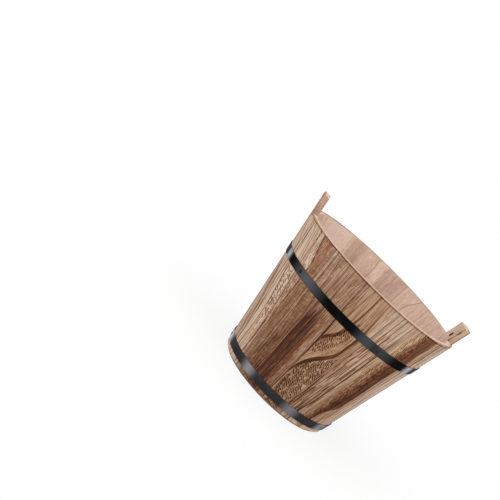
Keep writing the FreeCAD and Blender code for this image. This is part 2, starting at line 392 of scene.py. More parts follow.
@cache
def fibre_group() -> bpy.types.NodeTree:
    """Group for the brushed fibre: fine streaks along the grain, and broad clouds of tone.

    Returns:
        The group's tree.
    """
    roughness = 0.62
    sheet, given, made = start_group("brushed_fibre", ("Across", "Height", "Seed"), ("Fibre", "Cloud"))
    for name, across, up, detail in (("Fibre", 1.9, 0.03, 5.0), ("Cloud", 0.22, 0.012, 2.0)):
        place = sheet.point(
            sheet.math("MULTIPLY", given["Across"], across),
            sheet.math("MULTIPLY", given["Height"], up),
            given["Seed"],
        )
        sheet.feed(made[name], sheet.noise(place, detail, roughness))
    return sheet.tree


@cache
def streak_group() -> bpy.types.NodeTree:
    """Group for a streak between two soft edges about a line that climbs the stave.

    Returns:
        The group's tree.
    """
    names = ("Across", "Centre", "Half Width", "Soft Left", "Soft Right")
    sheet, given, made = start_group("grain_streak", names, ("Mask",))
    half = sheet.degrees(given["Half Width"])
    offset = sheet.math("SUBTRACT", given["Across"], sheet.degrees(given["Centre"]))
    left = sheet.math("ADD", offset, half)
    right = sheet.math("SUBTRACT", half, offset)
    inside = [
        sheet.ease(side, sheet.math("MULTIPLY", soft, -1.0), soft)
        for side, soft in ((left, given["Soft Left"]), (right, given["Soft Right"]))
    ]
    sheet.feed(made["Mask"], sheet.math("MULTIPLY", *inside))
    return sheet.tree


@cache
def dash_group() -> bpy.types.NodeTree:
    """Group for short marks in the grain, such as flame, bird's eye, flecks and pores.

    Returns:
        The group's tree.
    """
    millimetres_per_degree = 1.8
    bend_scale = 0.09
    row_edge, row_core = 0.46, 0.12
    row_chance, row_step = 7.31, 0.38
    jitter = 2.5
    marks_per_length = 0.62
    mark_end = 0.06
    names = ("Across", "Height", "Width", "Length", "Lean", "Cover", "Even", "Bend", "Seed")
    sheet, given, made = start_group("grain_dashes", names, ("Mask",))
    flat = sheet.point(
        sheet.math("MULTIPLY", given["Across"], millimetres_per_degree), given["Height"], given["Seed"]
    )
    angle = sheet.math("RADIANS", given["Lean"])
    turned = sheet.add("ShaderNodeVectorRotate", {"Vector": flat, "Angle": angle}, rotation_type="Z_AXIS")
    parts = sheet.add("ShaderNodeSeparateXYZ", {"Vector": turned.outputs["Vector"]}).outputs
    slow = sheet.add("ShaderNodeVectorMath", {"Vector": flat, "Scale": bend_scale}, operation="SCALE")
    wavy = sheet.sway(parts["X"], sheet.noise(slow.outputs["Vector"], 1.0), given["Bend"])
    rows = sheet.math("DIVIDE", wavy, given["Width"])
    row = sheet.math("FLOOR", rows)
    off_middle = sheet.math("ABSOLUTE", sheet.math("SUBTRACT", sheet.math("FRACT", rows), 0.5))
    stripe = sheet.ease(off_middle, row_edge, row_core)
    along = sheet.math("DIVIDE", parts["Y"], given["Length"])
    chance = sheet.noise(sheet.point(sheet.math("MULTIPLY", row, row_chance), along, given["Seed"]), 1.0)
    stagger = sheet.math("MULTIPLY_ADD", row, row_step, sheet.math("MULTIPLY", chance, jitter))
    turns = sheet.math("FRACT", sheet.math("MULTIPLY_ADD", along, marks_per_length, stagger))
    steady = sheet.math("PINGPONG", sheet.math("MULTIPLY", turns, 2.0), 1.0)
    lift = sheet.math("MULTIPLY", sheet.math("SUBTRACT", steady, chance), given["Even"])
    breaks = sheet.math("ADD", chance, lift)
    low = sheet.math("SUBTRACT", given["Cover"], mark_end)
    high = sheet.math("ADD", given["Cover"], mark_end)
    sheet.feed(made["Mask"], sheet.math("MULTIPLY", stripe, sheet.ease(breaks, low, high)))
    return sheet.tree


def draw_dashes(
    sheet: NodeSheet, kind: Dash, across: Socket, height: Socket, seed: float,
    lean: float = 0.0, bend: float = 0.0,
) -> Socket:
    """Draw rows of short marks.

    Args:
        sheet: where the nodes go.
        kind: which marks.
        across: degrees across the stave or its grain.
        height: millimetres above the floor.
        seed: number that picks one pattern of marks.
        lean: how far the rows lean, in degrees.
        bend: how far the rows sway, in millimetres.

    Returns:
        1 on a mark and 0 between the marks.
    """
    width, length, cover, even = kind.value
    return sheet.group(
        dash_group(), Across=across, Height=height, Width=width, Length=length,
        Lean=lean, Cover=cover, Even=even, Bend=bend, Seed=seed,
    )["Mask"]


def new_material(name: str) -> tuple[NodeSheet, bpy.types.Node]:
    """Start a material.

    Args:
        name: the material's name.

    Returns:
        A sheet for its nodes, and its Principled shader.
    """
    material = bpy.data.materials.new(name)
    material.use_nodes = True
    sheet = NodeSheet(material.node_tree)
    return sheet, material.node_tree.nodes["Principled BSDF"]


def material_of(sheet: NodeSheet) -> bpy.types.Material:
    """The material that a sheet's nodes belong to."""
    return next(item for item in bpy.data.materials if item.node_tree == sheet.tree)


def stave_coordinates(sheet: NodeSheet, middle: float) -> Outputs:
    """Place on a stave whose middle stands at an angle round the planter.

    Args:
        sheet: where the nodes go.
        middle: angle of the stave's middle, in degrees from +X.

    Returns:
        The place group's outputs.
    """
    turned = sheet.add("ShaderNodeMapping", {"Vector": sheet.here()})
    turned.inputs["Rotation"].default_value = (0.0, 0.0, -math.radians(middle))
    return sheet.group(place_group(), Vector=turned.outputs["Vector"])


def wall_depth(sheet: NodeSheet, place: Outputs) -> Socket:
    """A place's distance from the axis, in millimetres, slid down the lean of the wall to the floor."""
    return sheet.math("MULTIPLY_ADD", place["Height"], -Wall.SLOPE, place["Reach"])


def relief(sheet: NodeSheet, shader: bpy.types.Node, height: Socket, depth: float) -> None:
    """Bump a shader's surface.

    Args:
        sheet: where the nodes go.
        shader: the material's shader.
        height: height of the surface, 0 to 1.
        depth: what a height of 1 stands for, in metres.
    """
    strength = 0.6
    bump = sheet.add("ShaderNodeBump", {"Height": height, "Strength": strength, "Distance": depth})
    sheet.feed(shader.inputs["Normal"], bump.outputs["Normal"])


@dataclass(frozen=True)
class Streak:
    """A band of tone that climbs a stave: heights, places and half widths of its line, and its edges.

    A negative half width ends the band. The fade gives the heights where it is still whole and where
    it has gone.
    """

    path: Band
    depth: float
    soft: tuple[float, float] = (0.3, 0.3)
    tint: Tint = Tint.PLAIN
    fade: tuple[float, float] | None = None

    def mask(self, sheet: NodeSheet, across: Socket, height: Socket, ragged: Socket | None = None) -> Socket:
        """Where the band lies.

        Args:
            sheet: where the nodes go.
            across: degrees from the stave's middle.
            height: share of the curves' height.
            ragged: the same share, roughened along the fibres, for the end that fades.

        Returns:
            1 inside the band and 0 outside it.
        """
        centre = sheet.curve(height, tuple((up, place) for up, place, _ in self.path))
        half = sheet.curve(height, tuple((up, width) for up, _, width in self.path))
        left, right = self.soft
        mask = sheet.group(
            streak_group(), Across=across, Centre=centre, Half_Width=half, Soft_Left=left, Soft_Right=right
        )["Mask"]
        if self.fade is None:
            return mask
        whole, gone = (up / sheet.CURVE_HEIGHT for up in self.fade)
        return sheet.math("MULTIPLY", mask, sheet.ease(ragged or height, gone, whole))


@dataclass(frozen=True)
class DashField:
    """Short marks of one kind inside a soft-edged band of a stave."""

    kind: Dash
    path: Band
    depth: float
    lean: float = 0.0
    bend: float = 4.0
    soft: tuple[float, float] = (0.8, 0.8)

    def mask(self, sheet: NodeSheet, across: Socket, height: Socket, share: Socket, seed: float) -> Socket:
        """Where the marks lie.

        Args:
            sheet: where the nodes go.
            across: degrees from the stave's middle.
            height: millimetres above the floor.
            share: share of the curves' height.
            seed: number that picks one pattern of marks.

        Returns:
            1 on a mark and 0 between the marks.
        """
        marks = draw_dashes(sheet, self.kind, across, height, seed, self.lean, self.bend)
        region = Streak(self.path, 0.0, self.soft).mask(sheet, across, share)
        return sheet.math("MULTIPLY", marks, region)


def line(*points: tuple[float, float], half: float = 0.3, depth: float = -0.3, soft: float = 0.28) -> Streak:
    """A dark line of even width through heights and places on a stave."""
    return Streak(tuple((up, place, half) for up, place in points), depth, (soft, soft))


@dataclass(frozen=True)
class BurntFace:
    """Outside face of one stave: scorched, then brushed along the grain.

    Tones run from 0, charred, to 1, pale. The flow is how far the grain has drifted sideways, in
    degrees, at heights in millimetres.
    """

    level: float
    rise: float = 0.08
    tint: Tint = Tint.PLAIN
    pitch: float = 2.4
    lines: float = 0.3
    fibre: float = 0.75
    cloud: float = 0.35
    wander: float = 3.0
    # How much paler the foot is: painted bounce light from the floor.
    foot: float = 0.1
    pores: float = -0.18
    pattern: float = 0.0
    flow: Points = ((0.0, 0.0), (205.0, 0.0))
    streaks: tuple[Streak, ...] = ()
    dashes: tuple[DashField, ...] = ()

    # Heights and reaches are in millimetres, widths in degrees, depths in tone and the relief in metres.
    FOOT_HEIGHTS = (12.0, 4.0)
    EDGE_REACH = (3.0, 1.0)
    EDGE_DEPTH = -0.3
    JOINT_DEPTH = -0.06
    JOINT_WIDTH = 0.45
    TINT_SHARE = 0.8
    FULL_HEIGHT = 205.0
    FRAY_ACROSS = 0.9
    FRAY_UP = 0.6
    ROUGHNESS = (0.72, 0.56)
    SPECULAR = 0.1
    RELIEF = 0.0005

    def build(
        self, name: str, middle: float, half_angle: float, top: float, seed: float
    ) -> bpy.types.Material:
        """Make the face's material.

        Args:
            name: the material's name.
            middle: angle of the stave's middle, in degrees.
            half_angle: half the angle that the stave fills, in degrees.
            top: height of the stave's top, in millimetres.
            seed: number that picks one pattern of grain.

        Returns:
            The material.
        """
        sheet, shader = new_material(name)
        seed += self.pattern
        place = stave_coordinates(sheet, middle)
        height = place["Height"]
        share = sheet.math("DIVIDE", height, sheet.CURVE_HEIGHT)
        drift = sheet.degrees(sheet.curve(share, self.flow))
        grain = sheet.math("SUBTRACT", place["Across"], drift)
        lines = sheet.group(
            growth_group(), Across=grain, Height=height, Seed=seed, Pitch=self.pitch, Wander=self.wander
        )["Lines"]
        fibre = sheet.group(fibre_group(), Across=grain, Height=height, Seed=seed)
        pores = draw_dashes(sheet, Dash.PORE, grain, height, seed)

        climb = sheet.math("DIVIDE", height, self.FULL_HEIGHT)
        tone = sheet.spread(climb, self.level - self.rise, self.level + self.rise)
        tone = sheet.sway(tone, fibre["Fibre"], self.fibre)
        tone = sheet.sway(tone, fibre["Cloud"], self.cloud)
        tone = sheet.math("MULTIPLY_ADD", lines, -self.lines, tone)
        tone = sheet.math("MULTIPLY_ADD", pores, self.pores, tone)
        tone, tints = self.draw_streaks(sheet, place, share, fibre["Fibre"], tone)
        tone = self.draw_marks(sheet, place, share, seed, tone)
        tone = self.tone_edges(sheet, place, half_angle, top, tone)

        colour = sheet.ramp(tone, Shade.BURNT)
        for mask, tint in tints:
            colour = sheet.mix(mask, colour, tint.value, "MULTIPLY")
        sheet.feed(shader.inputs["Base Color"], colour)
        sheet.feed(shader.inputs["Roughness"], sheet.spread(tone, *self.ROUGHNESS))
        shader.inputs["Specular IOR Level"].default_value = self.SPECULAR
        ridges = sheet.math("MULTIPLY_ADD", fibre["Fibre"], 0.5, sheet.math("MULTIPLY", tone, 0.5))
        relief(sheet, shader, ridges, self.RELIEF)
        return material_of(sheet)

    def draw_streaks(
        self, sheet: NodeSheet, place: Outputs, share: Socket, fibre: Socket, tone: Socket
    ) -> tuple[Socket, list[tuple[Socket | float, Tint]]]:
        """Tone the streaks, whose edges fray along the fibres.

        Args:
            sheet: where the nodes go.
            place: the place on the stave.
            share: share of the curves' height.
            fibre: the brushed fibre.
            tone: the tone so far.

        Returns:
            The new tone, and the hues to lay over its colour, each with its mask.
        """
        ragged = sheet.sway(place["Across"], fibre, self.FRAY_ACROSS)
        frayed = sheet.sway(share, fibre, self.FRAY_UP)
        tints: list[tuple[Socket | float, Tint]] = []
        for streak in self.streaks:
            mask = streak.mask(sheet, ragged, share, frayed)
            tone = sheet.math("MULTIPLY_ADD", mask, streak.depth, tone)
            if streak.tint is not Tint.PLAIN:
                tints.append((sheet.math("MULTIPLY", mask, self.TINT_SHARE), streak.tint))
        if self.tint is not Tint.PLAIN:
            tints.append((self.TINT_SHARE, self.tint))
        return tone, tints

    def draw_marks(
        self, sheet: NodeSheet, place: Outputs, share: Socket, seed: float, tone: Socket
    ) -> Socket:
        """Tone the short marks; where two fields meet, the deeper mark counts.

        Args:
            sheet: where the nodes go.
            place: the place on the stave.
            share: share of the curves' height.
            seed: number that picks one pattern of marks.
            tone: the tone so far.

        Returns:
            The new tone.
        """
        marks: Socket | float = 0.0
        for number, dashes in enumerate(self.dashes):
            mask = dashes.mask(sheet, place["Across"], place["Height"], share, seed + number)
            marks = sheet.math("MINIMUM", marks, sheet.math("MULTIPLY", mask, dashes.depth))
        return sheet.math("ADD", tone, marks)

    def tone_edges(
        self, sheet: NodeSheet, place: Outputs, half_angle: float, top: float, tone: Socket
    ) -> Socket:
        """Tone the foot paler with painted bounce light from the floor, and tone the top edge and the joints
        with the next staves.

        Args:
            sheet: where the nodes go.
            place: the place on the stave.
            half_angle: half the angle that the stave fills, in degrees.
            top: height of the stave's top, in millimetres.
            tone: the tone so far.

        Returns:
            The new tone, kept from 0 to 1.
        """
        height = place["Height"]
        # Painted bounce light: the foot is lifted paler.
        tone = sheet.math("MULTIPLY_ADD", sheet.ease(height, *self.FOOT_HEIGHTS), self.foot, tone)
        edge = sheet.ease(height, *(top - below for below in self.EDGE_REACH))
        tone = sheet.math("MULTIPLY_ADD", edge, self.EDGE_DEPTH, tone)
        side = sheet.math("ABSOLUTE", place["Across"])
        joint = sheet.ease(side, half_angle - self.JOINT_WIDTH, half_angle)
        return sheet.math("MULTIPLY_ADD", joint, self.JOINT_DEPTH, tone, clamp=True)


@dataclass(frozen=True)
class RawFace:
    """Unburnt wood: the inside, edges and handles of a stave, or a board of the bottom."""

    level: float
    tint: Tint = Tint.PLAIN
    lines: float = 0.16
    pitch: float = 3.4
    fibre: float = 0.7
    shade: Shade = Shade.RAW
    stains: tuple[Streak, ...] = ()

    # The chatter shortens the fibres. The grain turns by degrees for each millimetre into the wood.
    CHATTER = 5.0
    DEPTH_TURN = 0.55
    WANDER = 5.0
    CLOUD = 0.4
    ROUGHNESS = (0.74, 0.6)
    SPECULAR = 0.2
    RELIEF = 0.0002

    def coordinates(self, sheet: NodeSheet, place: Outputs) -> tuple[Socket, Socket]:
        """Degrees across the wood: of its stains, and of its grain, which also turns in the depth."""
        turned = sheet.math("MULTIPLY_ADD", wall_depth(sheet, place), self.DEPTH_TURN, place["Across"])
        return place["Across"], turned

    def build(self, name: str, middle: float, seed: float) -> bpy.types.Material:
        """Make the wood's material.

        Args:
            name: the material's name.
            middle: angle of the stave's middle, in degrees.
            seed: number that picks one pattern of grain.

        Returns:
            The material.
        """
        sheet, shader = new_material(name)
        place = stave_coordinates(sheet, middle)
        across, grain = self.coordinates(sheet, place)
        share = sheet.math("DIVIDE", place["Height"], sheet.CURVE_HEIGHT)
        stain: Socket | float = 0.0
        for streak in self.stains:
            stain = sheet.math("MULTIPLY_ADD", streak.mask(sheet, across, share), streak.depth, stain)
        return self.dress(sheet, shader, grain, place["Height"], seed, stain)

    def dress(
        self, sheet: NodeSheet, shader: bpy.types.Node, across: Socket, along: Socket, seed: float,
        stain: Socket | float = 0.0,
    ) -> bpy.types.Material:
        """Draw the grain and finish the material.

        Args:
            sheet: where the nodes go.
            shader: the material's shader.
            across: degrees, or pairs of millimetres, across the grain.
            along: millimetres along the grain.
            seed: number that picks one pattern of grain.
            stain: what a stain adds to the tone.

        Returns:
            The material.
        """
        short = sheet.math("MULTIPLY", along, self.CHATTER)
        fibre = sheet.group(fibre_group(), Across=across, Height=short, Seed=seed)
        lines = sheet.group(
            growth_group(), Across=across, Height=along, Seed=seed, Pitch=self.pitch, Wander=self.WANDER
        )["Lines"]
        tone = sheet.math("MULTIPLY_ADD", lines, -self.lines, self.level)
        tone = sheet.sway(tone, fibre["Fibre"], self.fibre)
        tone = sheet.sway(tone, fibre["Cloud"], self.CLOUD)
        tone = sheet.math("ADD", tone, stain, clamp=True)
        colour = sheet.ramp(tone, self.shade)
        if self.tint is not Tint.PLAIN:
            colour = sheet.mix(1.0, colour, self.tint.value, "MULTIPLY")
        sheet.feed(shader.inputs["Base Color"], colour)
        sheet.feed(shader.inputs["Roughness"], sheet.spread(tone, *self.ROUGHNESS))
        shader.inputs["Specular IOR Level"].default_value = self.SPECULAR
        relief(sheet, shader, fibre["Fibre"], self.RELIEF)
        return material_of(sheet)


@dataclass(frozen=True)
class SideFace(RawFace):
    """Raw long side of a tall stave, set out in millimetres from its outside face."""

    # Distance of the outside face from the axis at the floor, in millimetres.
    OUTSIDE = 85.0

    def coordinates(self, sheet: NodeSheet, place: Outputs) -> tuple[Socket, Socket]:
        """Depth below the outside face, for the stains and for the grain."""
        depth = sheet.math("SUBTRACT", self.OUTSIDE, wall_depth(sheet, place))
        return depth, depth


@dataclass(frozen=True)
class BoardFace(RawFace):
    """Raw wood of a straight board, with its grain along X."""

    def build(self, name: str, middle: float, seed: float) -> bpy.types.Material:
        """Make the board's material.

        Args:
            name: the material's name.
            middle: not needed, as the grain runs straight.
            seed: number that picks one pattern of grain.

        Returns:
            The material.
        """
        sheet, shader = new_material(name)
        parts = sheet.add("ShaderNodeSeparateXYZ", {"Vector": sheet.here()}).outputs
        across = sheet.math("DIVIDE", sheet.math("ADD", parts["Y"], parts["Z"]), 2 * MILLIMETRE)
        along = sheet.math("DIVIDE", parts["X"], MILLIMETRE)
        return self.dress(sheet, shader, across, along, seed)


@dataclass(frozen=True)
class EndGrain:
    """Sawn ends of the staves at the rim and the foot: growth rings cut across, with open pores."""

    level: float = 0.73
    rings: float = 0.22
    speckle: float = 0.5
    scorch: float = -0.6
    scorched_from: float = 80.6
    scorched_to: float = 84.2
    behind: float = -0.3
    front: float = -90.0

    # Turns are in degrees from the front; grit and cloud are in waves per metre.
    BACK_TURNS = (104.0, 130.0)
    RING_STRETCH = (2.0, 6.0)
    RING_SEED = 3.0
    RING_PITCH = 3.2
    RING_WANDER = 9.0
    GRIT = 1500.0
    GRIT_DETAIL = 3.0
    CLOUD = 60.0
    ROUGHNESS = (0.9, 0.7)
    SPECULAR = 0.25
    RELIEF = 0.0002

    def build(self, name: str) -> bpy.types.Material:
        """Make the material of the sawn ends, which the torch has caught along the outside.

        Args:
            name: the material's name.

        Returns:
            The material.
        """
        sheet, shader = new_material(name)
        place = stave_coordinates(sheet, self.front)
        across, along = self.RING_STRETCH
        rings = sheet.group(
            growth_group(), Across=sheet.math("MULTIPLY", place["Reach"], across),
            Height=sheet.math("MULTIPLY", place["Across"], along),
            Seed=self.RING_SEED, Pitch=self.RING_PITCH, Wander=self.RING_WANDER,
        )["Lines"]
        here = sheet.here()
        grit = sheet.noise(here, self.GRIT_DETAIL, scale=self.GRIT)
        cloud = sheet.noise(here, scale=self.CLOUD)
        tone = sheet.math("MULTIPLY_ADD", rings, -self.rings, self.level)
        caught = sheet.ease(wall_depth(sheet, place), self.scorched_from, self.scorched_to)
        tone = sheet.math("MULTIPLY_ADD", caught, self.scorch, tone)
        back = sheet.ease(sheet.math("ABSOLUTE", place["Across"]), *self.BACK_TURNS)
        tone = sheet.math("MULTIPLY_ADD", back, self.behind, tone)
        tone = sheet.sway(tone, grit, self.speckle)
        tone = sheet.sway(tone, cloud, self.speckle)
        sheet.feed(shader.inputs["Base Color"], sheet.ramp(tone, Shade.END))
        sheet.feed(shader.inputs["Roughness"], sheet.spread(grit, *self.ROUGHNESS))
        shader.inputs["Specular IOR Level"].default_value = self.SPECULAR
        relief(sheet, shader, grit, self.RELIEF)
        return material_of(sheet)


@dataclass(frozen=True)
class BlackLacquer:
    """Satin black lacquer on steel, slightly mottled, with painted highlights at places round a strap.

    A place is an angle in degrees from +X, half its width in degrees and how strong its painted highlight
    is; there bare steel is mixed into the colour and made metallic, to stand in for reflections.
    """

    colour: tuple[int, int, int] = (14, 13, 14)
    thin: tuple[int, int, int] = (21, 20, 21)
    roughness: tuple[float, float] = (0.16, 0.22)
    # Places of painted highlights, which stand in for reflections on the strap.
    places: Band = ()
    index: float = 1.03

    # Mottle and peel are in waves per metre.
    # Grey of bare steel that the painted highlights mix into the colour.
    PAINTED_HIGHLIGHT_STEEL = (0.305, 0.30, 0.33, 1.0)
    MOTTLE = 90.0
    MOTTLE_DETAIL = 4.0
    THIN_RANGE = (0.42, 0.75)
    PEEL = 900.0
    PEEL_DEPTH = 0.000008

    def painted_highlight(self, sheet: NodeSheet) -> Socket | float:
        """How strong the painted highlights round the strap are, from 0 to 1.

        Args:
            sheet: where the nodes go.

        Returns:
            A mask, or 0 for an even finish.
        """
        most: Socket | float = 0.0
        for middle, half, share in self.places:
            side = sheet.math("ABSOLUTE", stave_coordinates(sheet, middle)["Across"])
            patch = sheet.math("MULTIPLY", sheet.ease(side, 2.0 * half, 0.0), share)
            most = sheet.math("MAXIMUM", most, patch)
        return most

    def build(self, name: str) -> bpy.types.Material:
        """Make the lacquer's material.

        Args:
            name: the material's name.

        Returns:
            The material.
        """
        sheet, shader = new_material(name)
        here = sheet.here()
        mottle = sheet.noise(here, self.MOTTLE_DETAIL, scale=self.MOTTLE)
        peel = sheet.noise(here, scale=self.PEEL)
        patch = sheet.ease(mottle, *self.THIN_RANGE)
        colour = sheet.mix(patch, screen_colour(*self.colour), screen_colour(*self.thin))
        # Painted highlights: bare steel colour and metallic at the places.
        if self.places:
            painted_highlight = self.painted_highlight(sheet)
            colour = sheet.mix(painted_highlight, colour, self.PAINTED_HIGHLIGHT_STEEL)
            sheet.feed(shader.inputs["Metallic"], painted_highlight)
        sheet.feed(shader.inputs["Base Color"], colour)
        sheet.feed(shader.inputs["Roughness"], sheet.spread(mottle, *self.roughness))
        shader.inputs["IOR"].default_value = self.index
        relief(sheet, shader, peel, self.PEEL_DEPTH)
        return material_of(sheet)


